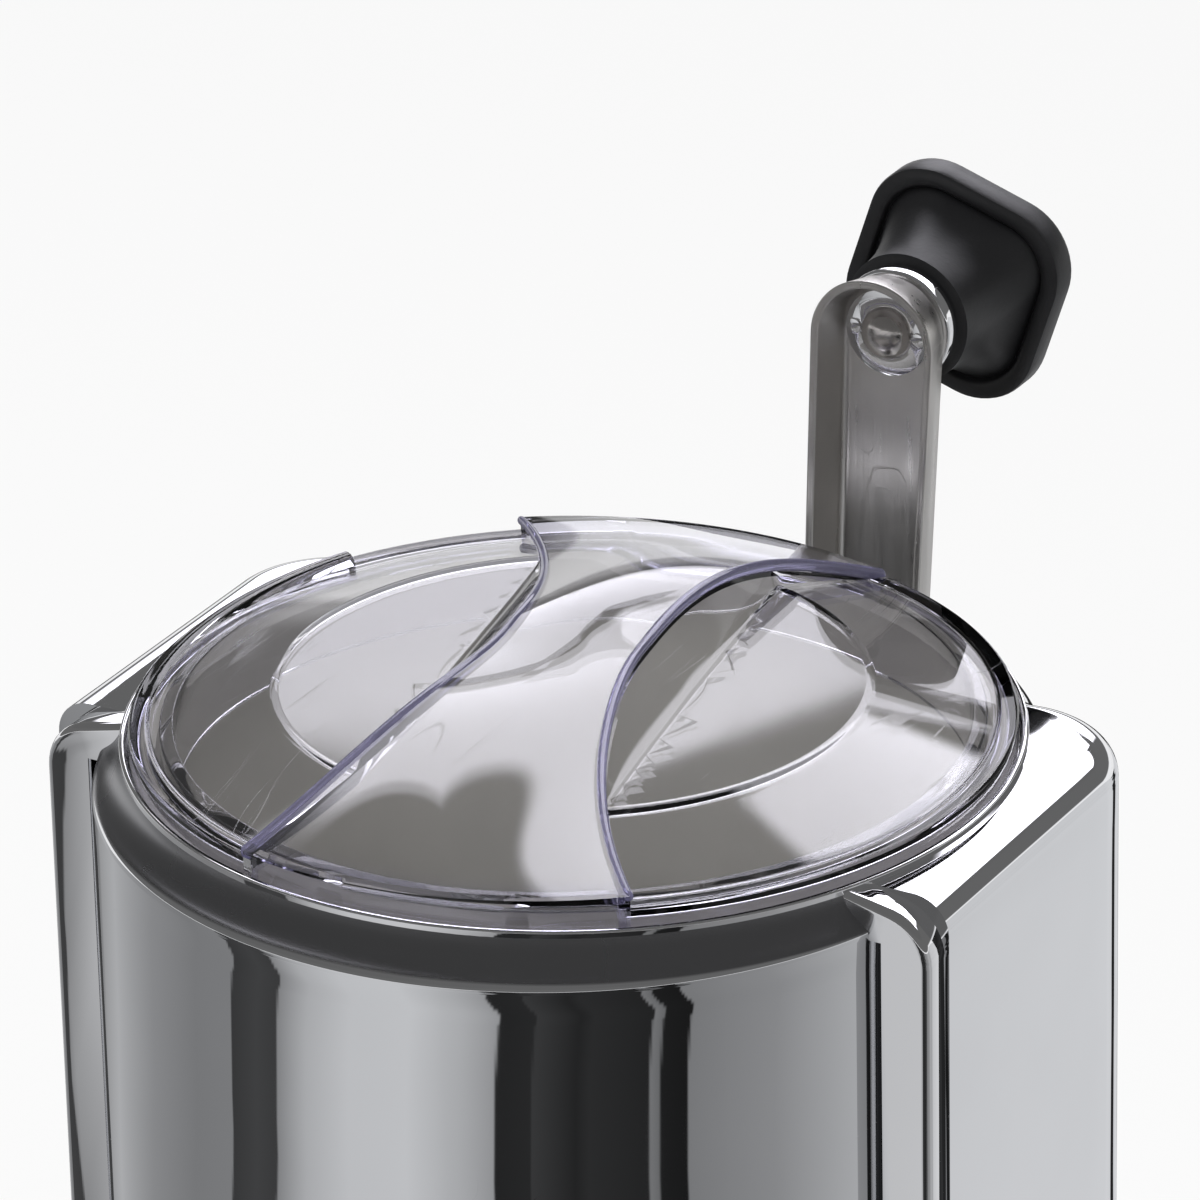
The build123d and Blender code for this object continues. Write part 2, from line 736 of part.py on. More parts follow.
with BuildPart() as crank_knob:
    for along, flare in ((0.0, 0.0), (0.3, 0.06), (0.6, 0.3), (0.85, 0.68), (1.0, 1.0)):
        side = stem_side + (flare_side - stem_side) * flare
        corner = (stem_side / 2 - 0.1) + (flange_corner - border_width - stem_side / 2 + 0.1) * flare
        with BuildSketch(crank_plane(knob_start + (flare_end - knob_start) * along, knob_turn)):
            RectangleRounded(side, side, corner)
    loft()
    with BuildSketch(crank_plane(flare_end, knob_turn)):
        RectangleRounded(knob_side, knob_side, flange_corner)
    extrude(amount=knob_end - flare_end)
    with BuildSketch(crank_plane(knob_flange, knob_turn)):
        RectangleRounded(knob_side, knob_side, flange_corner)
        inner_side = knob_side - 2 * border_width
        RectangleRounded(inner_side, inner_side, flange_corner - border_width, mode=Mode.SUBTRACT)
    extrude(amount=border_height)
    fillet(crank_knob.faces().sort_by(Axis.Y)[-1].edges(), 3.2)
    with BuildSketch(crank_plane(knob_start - 1, knob_turn)):
        Circle(pin_radius + running_gap)
    extrude(amount=pin_end - knob_start, mode=Mode.SUBTRACT)
    with BuildSketch(crank_plane(pin_end - pin_flange - end_play, knob_turn)):
        Circle(pin_flange_radius + 0.4)
    extrude(amount=knob_end, mode=Mode.SUBTRACT)
    with BuildSketch(crank_plane(knob_end - cap_depth, knob_turn)):
        Circle(cap_radius)
    extrude(amount=knob_end, mode=Mode.SUBTRACT)
crank_knob.part.label = "crank_knob"
export_step(crank_knob.part, "parts/crank_knob.step")

with BuildPart() as knob_cap:
    with BuildSketch(crank_plane(knob_end - cap_depth, knob_turn)):
        Circle(cap_radius)
    extrude(amount=cap_depth)
    fillet(knob_cap.edges().sort_by(Axis.Y)[-1], 0.6)
knob_cap.part.label = "knob_cap"
export_step(knob_cap.part, "parts/knob_cap.step")

# ---- Lid: a dished disc with a raised, twisted grip across it

turn = radians(grip_axis)
lid_plane = Plane(origin=(0, 0, body_top), x_dir=(cos(turn), sin(turn), 0), z_dir=(0, 0, 1))


def grip_station(along):
    """Plane across the grip, at a distance from the lid's middle."""
    origin = lid_plane.from_local_coords((along, 0, 0))
    return Plane(origin=origin, x_dir=lid_plane.y_dir, z_dir=lid_plane.x_dir)


def dome(radius):
    """Mean height of the grip's top at a distance from the lid's axis."""
    share = min(radius / lid_radius, 1.0)
    return grip_rim + (grip_crown - grip_rim) * cos(pi / 2 * share**1.25)


def plate_height(radius):
    """Top of the disc and of the sloping ring around it."""
    share = (min(max(radius, disc_radius), lid_radius) - disc_radius) / (lid_radius - disc_radius)
    return disc_rise + (rim_rise - disc_rise) * share


def grip_section(along, inset, base=None):
    """Cross-section of the grip: a bulged top between a high ridge and a low one."""
    half = ridge_centre - sqrt(ridge_radius**2 - along**2)
    foot = max(grip_foot, half + 0.4)
    reach = hypot(along, half)
    lift = grip_twist * sin(pi * min(reach / lid_radius, 1)) ** 2
    if along < 0:
        lift = -lift
    if base is None:
        base = plate_height(hypot(along, foot)) - lid_wall / 2
    near = (inset - half, dome(reach) + lift - inset)
    far = (half - inset, dome(reach) - lift - inset)
    with BuildSketch() as section:
        with BuildLine():
            Polyline(far, (foot - inset, base), (inset - foot, base), near)
            ThreePointArc(near, (0, dome(abs(along)) + 0.4 - inset), far)
        make_face()
    return section.sketch


stations = (-57, -44, -31, -16, 0, 16, 31, 44, 57)
core_radius = 53.6
spigot_depth = 7.0
spigot_wall = 2.0

with BuildPart() as grip_core:
    for along in stations:
        with BuildSketch(grip_station(along)):
            add(grip_section(along, lid_wall, -ledge_drop + 0.4))
    loft()
    with BuildSketch(level(body_top - 10)):
        Circle(core_radius)
    extrude(amount=40, mode=Mode.INTERSECT)

with BuildPart() as lid:
    with BuildSketch(Plane.XZ):
        under_slope = (disc_rise - rim_rise) / (lid_radius - disc_radius)
        spigot_top = body_top + rim_rise - lid_wall + under_slope * (lid_radius - core_radius)
        with BuildLine():
            Polyline(
                (0, body_top + disc_rise),
                (disc_radius, body_top + disc_rise),
                (lid_radius, body_top + rim_rise),
                (lid_radius, lid_seat),
                (core_radius, lid_seat),
                (core_radius, lid_seat - spigot_depth),
                (core_radius - spigot_wall, lid_seat - spigot_depth),
                (core_radius - spigot_wall, spigot_top),
                (disc_radius, body_top + disc_rise - lid_wall),
                (0, body_top + disc_rise - lid_wall),
                (0, body_top + disc_rise),
            )
        make_face()
    revolve(axis=Axis.Z)
    for along in stations:
        with BuildSketch(grip_station(along)):
            add(grip_section(along, 0.0))
    loft()
    with BuildSketch(level(body_top - 15)):
        Circle(lid_radius)
    extrude(amount=45, mode=Mode.INTERSECT)
    add(grip_core.part, mode=Mode.SUBTRACT)
    # flat band round the rim
    with BuildSketch(Plane.XZ):
        band_top = body_top + rim_rise + band_rise
        with BuildLine():
            Polyline(
                (lid_radius - band_width, body_top + 1.0),
                (lid_radius, body_top + 1.0),
                (lid_radius, band_top - 0.3),
                (lid_radius - 0.3, band_top),
                (lid_radius - band_width, band_top),
                (lid_radius - band_width, body_top + 1.0),
            )
        make_face()
    revolve(axis=Axis.Z)
    # raised bead on the left, turned about a tilted axis so that it sinks into the rim
    heading = radians(bead_start)
    tilt = radians(bead_tilt)
    bead_axis = (-sin(heading) * sin(tilt), cos(heading) * sin(tilt), cos(tilt))
    bead_plane = Plane(
        origin=(0, 0, body_top),
        x_dir=(cos(heading), sin(heading), 0),
        z_dir=(sin(heading) * cos(tilt), -cos(heading) * cos(tilt), sin(tilt)),
    )
    with BuildSketch(bead_plane):
        with BuildLine():
            Polyline((54.6, 1.5), (lid_radius - 0.3, 1.5), (lid_radius - 0.3, 3.8))
            ThreePointArc((lid_radius - 0.3, 3.8), (56.2, 5.1), (54.6, 3.9))
            Line((54.6, 3.9), (54.6, 1.5))
        make_face()
    revolve(axis=Axis((0, 0, body_top), bead_axis), revolution_arc=bead_sweep)
lid.part.label = "lid"
export_step(lid.part, "parts/lid.step")

# ---- Inner deck, base and feet

chute_depth = chamber_half_y + container_back - 4  # the chute ends short of the container's back

with BuildPart() as inner_deck:
    with BuildSketch(level(deck_height)):
        add(tower_outline(wall + fit_gap))
        with Locations((0, -chamber_half_y)):
            Rectangle(2 * chamber_half_x, chute_depth, align=(Align.CENTER, Align.MIN), mode=Mode.SUBTRACT)
    extrude(amount=deck_thickness)
    with Locations(*[(x, y, chamber_foot) for x, y in front_deck_screws + rear_deck_screws]):
        Hole(pilot_radius, depth=deck_thickness)
inner_deck.part.label = "inner_deck"
export_step(inner_deck.part, "parts/inner_deck.step")

with BuildPart() as deck_screws:
    with BuildSketch(level(chamber_foot)):
        with Locations(*(front_deck_screws + rear_deck_screws)):
            Circle(pilot_radius)
    extrude(amount=-deck_thickness - ledge_thickness - 3)
    with BuildSketch(level(chamber_foot)):
        with Locations(*(front_deck_screws + rear_deck_screws)):
            Circle(deck_head_radius)
    extrude(amount=1.5)
deck_screws.part.label = "deck_screws"
export_step(deck_screws.part, "parts/deck_screws.step")

foot_points = {
    "foot_front_left": (-38.0, -33.0),
    "foot_front_right": (38.0, -33.0),
    "foot_rear_left": (-44.0, 34.0),
    "foot_rear_right": (44.0, 34.0),
}
foot_radius = 7.0
stem_radius = 3.0
base_head_radius = 2.6
base_head_height = 1.6
boss_points = front_bosses + rear_bosses

with BuildPart() as base_plate:
    with BuildSketch(level(body_foot)):
        add(tower_outline(wall + fit_gap))
        with Locations(*foot_points.values()):
            Circle(stem_radius, mode=Mode.SUBTRACT)
        with Locations(*boss_points):
            Circle(pilot_radius, mode=Mode.SUBTRACT)
    extrude(amount=base_thickness)
    with BuildSketch(level(body_foot)):
        with Locations(*boss_points):
            Circle(base_head_radius)
    extrude(amount=base_head_height, mode=Mode.SUBTRACT)
base_plate.part.label = "base_plate"
export_step(base_plate.part, "parts/base_plate.step")

with BuildPart() as base_screws:
    with BuildSketch(level(body_foot)):
        with Locations(*boss_points):
            Circle(base_head_radius)
    extrude(amount=base_head_height)
    with BuildSketch(level(body_foot)):
        with Locations(*boss_points):
            Circle(pilot_radius)
    extrude(amount=15)
base_screws.part.label = "base_screws"
export_step(base_screws.part, "parts/base_screws.step")

for name, point in foot_points.items():
    with BuildPart() as foot:
        with BuildSketch(level(0)):
            with Locations(point):
                Circle(foot_radius)
        extrude(amount=body_foot)
        chamfer(foot.edges().group_by(Axis.Z)[0], 0.6)
        with BuildSketch(level(body_foot)):
            with Locations(point):
                Circle(stem_radius)
        extrude(amount=base_thickness - 0.5)
    foot.part.label = name
    export_step(foot.part, f"parts/{name}.step")

# ---- Ice container and its guides

guide_inner_x = arch_half_width - container_gap + 0.6
guide_width = 2.0
guide_height = 12.0

for name, side in (("guide_left", -1), ("guide_right", 1)):
    with BuildPart() as guide:
        with BuildSketch(level(bay_floor)):
            with Locations((side * (guide_inner_x + guide_width / 2), 8)):
                Rectangle(guide_width, 52)
        extrude(amount=guide_height)
        chamfer(guide.edges().filter_by(Axis.X).group_by(Axis.Z)[-1], 1.0)
    guide.part.label = name
    export_step(guide.part, f"parts/{name}.step")

pull_radius = 15.0
pull_y = -60.5
pull_height = 60.0
pull_thickness = 3.0
container_floor = bay_floor + fit_gap


def container_plan(inset):
    """Plan of the container: square at the back, with the front lobe's curve in front."""
    half = arch_half_width - container_gap - inset
    with BuildSketch() as plan:
        with Locations((0, container_back - inset)):
            Rectangle(2 * half, 2 * lid_radius, align=(Align.CENTER, Align.MAX))
        with Locations((0, front_lobe_y)):
            Circle(front_lobe_radius - inset, mode=Mode.INTERSECT)
    return plan.sketch


with BuildPart() as container_core:
    with BuildSketch(Plane.XZ.offset(-container_back)):
        add(arch_outline(container_gap + container_wall))
    extrude(amount=2 * lid_radius)
    with BuildSketch(level(0)):
        add(container_plan(container_wall))
    extrude(amount=2 * arch_top, mode=Mode.INTERSECT)

with BuildPart() as ice_container:
    with BuildSketch(Plane.XZ.offset(-container_back)):
        add(arch_outline(container_gap))
    extrude(amount=2 * lid_radius)
    with BuildSketch(level(container_floor)):
        add(container_plan(0.0))
    extrude(amount=2 * arch_top, mode=Mode.INTERSECT)
    add(container_core.part, mode=Mode.SUBTRACT)
    # open top behind the hooded front
    with BuildSketch(level(container_top)):
        with Locations((0, container_back + 1)):
            Rectangle(4 * arch_half_width, 84, align=(Align.CENTER, Align.MAX))
    extrude(amount=arch_top, mode=Mode.SUBTRACT)
    # finger pull
    with BuildSketch(level(pull_height)):
        with Locations((0, pull_y)):
            Circle(pull_radius)
        with Locations((0, front_lobe_y)):
            Circle(front_lobe_radius - container_wall / 2, mode=Mode.SUBTRACT)
    extrude(amount=pull_thickness)
ice_container.part.label = "ice_container"
export_step(ice_container.part, "parts/ice_container.step")
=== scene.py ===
import json
import bmesh
import bpy
import numpy as np
from mathutils import Matrix, Vector


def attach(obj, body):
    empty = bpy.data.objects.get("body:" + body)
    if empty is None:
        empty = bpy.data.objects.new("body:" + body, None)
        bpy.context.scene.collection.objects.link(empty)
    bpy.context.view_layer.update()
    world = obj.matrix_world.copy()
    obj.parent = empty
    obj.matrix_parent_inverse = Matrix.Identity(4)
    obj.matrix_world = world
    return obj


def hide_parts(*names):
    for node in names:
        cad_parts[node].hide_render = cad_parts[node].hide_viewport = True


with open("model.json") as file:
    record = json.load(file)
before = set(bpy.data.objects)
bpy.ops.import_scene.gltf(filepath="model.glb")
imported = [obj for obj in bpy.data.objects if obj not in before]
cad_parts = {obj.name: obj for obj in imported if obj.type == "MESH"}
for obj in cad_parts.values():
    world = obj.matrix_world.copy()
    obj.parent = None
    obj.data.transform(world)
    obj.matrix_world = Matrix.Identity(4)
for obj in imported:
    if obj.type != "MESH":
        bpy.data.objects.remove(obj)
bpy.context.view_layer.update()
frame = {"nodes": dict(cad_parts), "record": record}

nodes = frame["nodes"]
mm = 0.001
degreesPerRadian = 57.29578
crispAngle = 32  # degrees over which an edge stays sharp, where a piece gives no other
weldDistance = 2e-6


class Wire:
    # one shader socket; arithmetic on it adds Math nodes
    def __init__(self, finish, socket):
        self.finish = finish
        self.socket = socket

    def math(self, operation, *others):
        values = dict(enumerate((self,) + others))
        node = self.finish.node("ShaderNodeMath", {"operation": operation}, values)
        return Wire(self.finish, node.outputs[0])

    def __add__(self, other):
        return self.math("ADD", other)

    def __sub__(self, other):
        return self.math("SUBTRACT", other)

    def __mul__(self, other):
        return self.math("MULTIPLY", other)

    def __rsub__(self, other):
        return (self * -1.0).math("ADD", other)

    __radd__ = __add__
    __rmul__ = __mul__

    def between(self, low, high, start=0.0, end=1.0):
        # low..high becomes start..end, held at both ends
        node = self.finish.node(
            "ShaderNodeMapRange",
            {"interpolation_type": "SMOOTHSTEP"},
            {"Value": self, "From Min": low, "From Max": high, "To Min": start, "To Max": end},
        )
        return Wire(self.finish, node.outputs[0])


class Finish:
    # a material, or the world, with its node tree
    def __init__(self, name, fixed=None, owner=None):
        self.owner = owner or bpy.data.materials.new(name)
        self.owner.use_nodes = True
        self.tree = self.owner.node_tree
        self.shader = self.tree.nodes.get("Principled BSDF")
        for socket, value in (fixed or {}).items():
            self.shader.inputs[socket].default_value = value

    def node(self, kind, settings=None, values=None):
        node = self.tree.nodes.new(kind)
        for key, value in (settings or {}).items():
            setattr(node, key, value)
        for key, value in (values or {}).items():
            self.plug(node.inputs[key], value)
        return node

    def plug(self, socket, value):
        if isinstance(value, Wire):
            self.tree.links.new(value.socket, socket)
        else:
            socket.default_value = value

    def place(self, stretch=(1, 1, 1), turn=(0, 0, 0)):
        # object coordinates in metres, stretched and turned
        source = self.node("ShaderNodeTexCoord")
        mapped = self.node(
            "ShaderNodeMapping",
            {},
            {"Vector": Wire(self, source.outputs["Object"]), "Scale": stretch, "Rotation": turn},
        )
        return Wire(self, mapped.outputs[0])

    def noise(self, scale, detail=2.0, stretch=(1, 1, 1), turn=(0, 0, 0), rough=0.5):
        node = self.node(
            "ShaderNodeTexNoise",
            {},
            {"Vector": self.place(stretch, turn), "Scale": scale, "Detail": detail, "Roughness": rough},
        )
        return Wire(self, node.outputs[0])

    def scratches(self, scale, turn, thin=0.012):
        # thin lines where a stretched noise crosses its middle, broken up by a second noise
        lines = (self.noise(scale, 1.0, (1, 0.06, 1), turn) - 0.5).math("ABSOLUTE")
        broken = self.noise(scale * 0.4, 1.0).between(0.55, 0.65)
        return (1 - lines.between(0.0, thin)) * broken

    def mix(self, factor, first, second):
        node = self.node("ShaderNodeMix", {"data_type": "RGBA"}, {0: factor, 6: first, 7: second})
        return Wire(self, node.outputs[2])

    def bump(self, height, distance, strength=1.0):
        values = {"Height": height, "Distance": distance, "Strength": strength}
        node = self.node("ShaderNodeBump", {}, values)
        self.plug(self.shader.inputs["Normal"], Wire(self, node.outputs[0]))

    def surface(self, shader):
        output = self.tree.nodes["Material Output"]
        self.plug(output.inputs["Surface"], Wire(self, shader.outputs[0]))

    def blend(self, factor, first, second):
        # the surface goes from the first shader to the second
        wires = {0: factor, 1: Wire(self, first.outputs[0]), 2: Wire(self, second.outputs[0])}
        self.surface(self.node("ShaderNodeMixShader", {}, wires))

    def feed(self, **sockets):
        for name, value in sockets.items():
            self.plug(self.shader.inputs[name.replace("_", " ")], value)


def tone(red, green, blue):
    return (red, green, blue, 1.0)


def grey(value):
    return tone(value, value, value)


def shaded(colour, share):
    return tone(*[channel * share for channel in colour])


collarSatinAndPaintedShade = {
    "low": 0.2131,  # heights in metres between which the front shell's plating turns satin and is darkened, a painted dark reflection
    "high": 0.2134,
    "colour": (0.27, 0.27, 0.28),
    "rough": 0.2,
    "uneven": 0.12,
}


def plating(name, base, smudge=0.05, collar=False):
    # bright plating: faint ripple of the moulding below, wiped smudges and hairline scratches
    finish = Finish(name, {"Metallic": 1.0})
    cloud = finish.noise(22, 3.0)
    wipe = finish.noise(60, 2.0, (1, 1, 0.25))
    hair = finish.scratches(90, (0.3, 0.5, 0.7), 0.006)
    colour = finish.mix(cloud.between(0.3, 0.7), shaded(base, 0.96), tone(*base))
    rough = cloud.between(0.45, 0.75, 0.012, 0.012 + smudge * 0.5) + wipe * smudge * 0.4 + hair * 0.12
    if collar:
        # the hollow collar under the lip is satin, and its colour is darkened as a painted dark
        # reflection
        split = finish.node("ShaderNodeSeparateXYZ", {}, {0: finish.place()})
        height = Wire(finish, split.outputs[2])
        satinAndShade = height.between(collarSatinAndPaintedShade["low"], collarSatinAndPaintedShade["high"])
        # painted dark reflection: the collar's colour is mixed to a dark grey
        colour = finish.mix(satinAndShade, colour, tone(*collarSatinAndPaintedShade["colour"]))
        rough = rough + satinAndShade * (collarSatinAndPaintedShade["rough"] + cloud * collarSatinAndPaintedShade["uneven"])
    finish.feed(Base_Color=colour, Roughness=rough)
    finish.bump(finish.noise(9, 1.0) + hair * 0.004, 0.0006, 0.5)
    return finish.owner


rimBorder = (0.0535, 0.0572)  # metres from the axis between which the lid's rim takes its deeper tint


def clearPlastic(name, tint, haze=0.01, rimTint=None, clear=1.0):
    # clear moulded plastic: lets light through to what lies behind, fine wiping scratches
    finish = Finish(name, {"Base Color": tone(*tint), "Transmission Weight": clear, "IOR": 1.49})
    hair = finish.scratches(120, (0.2, 0.1, 0.9), 0.01)
    hair = hair + finish.scratches(70, (0.1, 0.3, 2.2), 0.008)
    cloud = finish.noise(30, 3.0)
    finish.feed(Roughness=cloud.between(0.4, 0.8, haze, haze + 0.03) + hair * 0.25)
    finish.bump(cloud, 0.000004, 0.3)
    if rimTint:
        # thick rim: the tint deepens with the distance from the axis
        flat = {0: finish.place((1, 1, 0))}
        far = finish.node("ShaderNodeVectorMath", {"operation": "LENGTH"}, flat)
        rim = Wire(finish, far.outputs["Value"]).between(*rimBorder)
        finish.feed(Base_Color=finish.mix(rim, tone(*tint), tone(*rimTint)))
    # shadows and soft light pass straight through
    path = finish.node("ShaderNodeLightPath")
    diffuse = Wire(finish, path.outputs["Is Diffuse Ray"])
    straight = Wire(finish, path.outputs["Is Shadow Ray"]).math("MAXIMUM", diffuse)
    pale = tone(*[0.5 + 0.5 * channel for channel in tint])
    passing = finish.node("ShaderNodeBsdfTransparent", {}, {"Color": pale})
    finish.blend(straight, finish.shader, passing)
    return finish.owner


def mouldedPlastic(name, base, rough=0.45, grain=0.00008, scale=900):
    # satin moulded plastic: fine grain, slightly uneven gloss and colour
    finish = Finish(name, {"IOR": 1.5})
    cloud = finish.noise(35, 3.0)
    fine = finish.noise(scale, 2.0)
    scuff = finish.scratches(60, (0.4, 0.2, 1.1), 0.01)
    finish.feed(
        Base_Color=finish.mix(cloud.between(0.35, 0.7), shaded(base, 0.88), tone(*base)),
        Roughness=cloud.between(0.35, 0.7, rough - 0.07, rough + 0.06) + scuff * 0.1,
    )
    finish.bump(fine + cloud * 0.5, grain, 0.8)
    return finish.owner


def brushedSteel(name, base, grainStretch, rough=0.28):
    # steel with a brushed grain, light stains and a few deeper scratches
    finish = Finish(name, {"Metallic": 1.0})
    grain = finish.noise(700, 3.0, grainStretch, rough=0.65)
    stain = finish.noise(45, 3.0)
    deep = finish.scratches(110, (0.5, 0.3, 0.2), 0.01)
    bright = stain.between(0.35, 0.7) * 0.7 + grain * 0.3
    finish.feed(
        Base_Color=finish.mix(bright, shaded(base, 0.78), tone(*base)),
        Roughness=rough + (grain - 0.5) * 0.3 + stain.between(0.4, 0.8, 0.0, 0.08) + deep * 0.1,
    )
    finish.bump(grain + deep * 0.6, 0.00006, 0.7)
    return finish.owner


def softRubber(name, base):
    # matt rubber with a fine grain and dust in patches
    finish = Finish(name, {"IOR": 1.5})
    fine = finish.noise(1200, 2.0)
    dust = finish.noise(80, 4.0).between(0.5, 0.8)
    finish.feed(
        Base_Color=finish.mix(dust * 0.35, tone(*base), tone(0.2, 0.195, 0.19)),
        Roughness=0.72 + dust * 0.15,
    )
    finish.bump(fine, 0.0001, 0.8)
    return finish.owner


# by the record's slot names, and three of this script's own: front_chrome, lid_ridge and pin_steel
finishes = {
    "chrome_shell": plating("shellChrome", (0.86, 0.865, 0.88)),
    "front_chrome": plating("frontChrome", (0.86, 0.865, 0.88), 0.05, True),
    "chrome_trim": plating("trimChrome", (0.88, 0.88, 0.89), 0.03),
    "clear_lid": clearPlastic("lidAcrylic", (0.96, 0.955, 0.985), 0.01, (0.86, 0.85, 0.97)),
    "lid_ridge": clearPlastic("lidRidge", (0.4, 0.385, 0.56), clear=0.8),
    "clear_container": clearPlastic("containerAcrylic", (0.94, 0.96, 0.97), 0.02),
    # the white liner is coloured a dark olive grey: painted shade of the hopper's inside under the lid
    "white_liner": mouldedPlastic("linerWithPaintedShade", (0.3, 0.293, 0.262), 0.5, 0.00001),
    "grey_structure": mouldedPlastic("structurePlastic", (0.26, 0.26, 0.27), 0.5, 0.00012),
    "cutting_steel": brushedSteel("cuttingSteel", (0.62, 0.62, 0.61), (0.08, 1, 1)),
    "arm_steel": brushedSteel("armSteel", (0.68, 0.66, 0.635), (1, 1, 0.05), 0.3),
    "screw_steel": brushedSteel("screwSteel", (0.66, 0.65, 0.62), (1, 1, 1), 0.34),
    "bush_plastic": mouldedPlastic("bushAcetal", (0.72, 0.7, 0.62), 0.38, 0.00005),
    "pin_steel": brushedSteel("pinSteel", (0.66, 0.63, 0.61), (1, 1, 1), 0.16),
    "black_knob": mouldedPlastic("knobPlastic", (0.009, 0.009, 0.01), 0.42, 0.00003, 1400),
    "foot_rubber": softRubber("footRubber", (0.045, 0.045, 0.045)),
}
print("finishes ready:", len(finishes))


def quadsOf(rows, columns, closeRows=False, closeColumns=False):
    # four corners of each cell of a grid whose points are stored row by row
    i = np.arange(rows if closeRows else rows - 1)[:, None]
    j = np.arange(columns if closeColumns else columns - 1)[None, :]
    nextI = (i + 1) % rows
    nextJ = (j + 1) % columns
    corners = [i * columns + j, nextI * columns + j, nextI * columns + nextJ, i * columns + nextJ]
    return np.stack([np.broadcast_to(c, (i.size, j.size)) for c in corners], axis=-1).reshape(-1, 4)


def addObject(name, data):
    made = bpy.data.objects.new(name, data)
    bpy.context.scene.collection.objects.link(made)
    return made


def meshPiece(
    name, patches, finish, body, replaced=(), inside=None, wall=0.0, sharp=crispAngle
):
    # patches: (points in millimetres as rows x columns x 3, closeRows, closeColumns)
    # inside: a point the faces look away from, for an open sheet; a closed one is turned by bmesh
    # wall: thickness that an open sheet gets inwards; sharp: degrees over which an edge stays crisp
    points, quads, start = [], [], 0
    for grid, closeRows, closeColumns in patches:
        rows, columns = grid.shape[:2]
        flat = grid.reshape(-1, 3)
        cells = quadsOf(rows, columns, closeRows, closeColumns)
        if inside is not None:
            corner = flat[cells]
            normal = np.cross(corner[:, 2] - corner[:, 0], corner[:, 3] - corner[:, 1])
            outward = corner.mean(axis=1) - np.asarray(inside, float)
            if (normal * outward).sum() < 0:
                cells = cells[:, ::-1]
        points.append(flat)
        quads.append(cells + start)
        start += len(flat)
    mesh = bpy.data.meshes.new(name)
    mesh.from_pydata((np.concatenate(points) * mm).tolist(), [], np.concatenate(quads).tolist())
    work = bmesh.new()
    work.from_mesh(mesh)
    bmesh.ops.remove_doubles(work, verts=work.verts, dist=weldDistance)
    bmesh.ops.dissolve_degenerate(work, edges=work.edges, dist=1e-7)
    if inside is None:
        bmesh.ops.recalc_face_normals(work, faces=work.faces)
    work.to_mesh(mesh)
    work.free()
    piece = addObject(name, mesh)
    if wall:
        thick = piece.modifiers.new("wall", "SOLIDIFY")
        thick.thickness = wall * mm
        thick.offset = -1.0
        thick.use_quality_normals = True
        bpy.context.view_layer.update()
        ready = piece.evaluated_get(bpy.context.evaluated_depsgraph_get())
        piece.data = bpy.data.meshes.new_from_object(ready)
        piece.modifiers.clear()
    piece.data.polygons.foreach_set("use_smooth", np.ones(len(piece.data.polygons), bool))
    piece.data.set_sharp_from_angle(angle=np.radians(sharp))
    piece.data.materials.clear()
    piece.data.materials.append(finishes[finish])
    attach(piece, body)
    if replaced:
        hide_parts(*replaced)


def ringPiece(
    name, profile, finish, body, replaced=(), centre=(0, 0, 0), alongY=False, steps=144
):
    # a closed profile of (radius, height) pairs turned about Z, or about Y where alongY is true
    outline = np.asarray(profile, float)
    turn = np.linspace(0, 2 * np.pi, steps, endpoint=False)[:, None]
    x = outline[None, :, 0] * np.cos(turn)
    y = outline[None, :, 0] * np.sin(turn)
    z = np.broadcast_to(outline[None, :, 1], x.shape)
    grid = np.stack([x, z, y] if alongY else [x, y, z], axis=-1) + np.asarray(centre, float)
    meshPiece(name, [(grid, True, True)], finish, body, replaced)


def quadratic(t, first, corner, last):
    # curve from first to last that leaves and arrives along the lines to the corner
    return (1 - t) ** 2 * first + 2 * t * (1 - t) * corner + t**2 * last


def roundedProfile(corners, radius, steps=5):
    # a closed polygon whose corners are quadratic curves that start and end radius away from them
    corner = np.asarray(corners, float)
    before = np.roll(corner, 1, axis=0) - corner
    after = np.roll(corner, -1, axis=0) - corner
    lengthBefore = np.linalg.norm(before, axis=1, keepdims=True)
    lengthAfter = np.linalg.norm(after, axis=1, keepdims=True)
    start = corner + before / lengthBefore * np.minimum(radius, 0.45 * lengthBefore)
    end = corner + after / lengthAfter * np.minimum(radius, 0.45 * lengthAfter)
    t = np.linspace(0, 1, steps)[None, :, None]
    return quadratic(t, start[:, None], corner[:, None], end[:, None]).reshape(-1, 2)


slotOf = {part["node"]: part["material_slot"] for part in frame["record"]["subparts"]}


def dressNode(name, bevel):
    # a CAD solid kept as it is, with its facets smoothed, its edges broken and its own finish
    node = nodes[name]
    node.data.polygons.foreach_set("use_smooth", np.ones(len(node.data.polygons), bool))
    weld = node.modifiers.new("join", "WELD")
    weld.merge_threshold = weldDistance
    edge = node.modifiers.new("edge", "BEVEL")
    edge.width = bevel * mm
    edge.segments = 2
    edge.limit_method = "ANGLE"
    edge.angle_limit = np.radians(crispAngle)
    split = node.modifiers.new("crisp", "EDGE_SPLIT")
    split.split_angle = np.radians(crispAngle)
    node.data.materials.clear()
    node.data.materials.append(finishes[slotOf[name]])


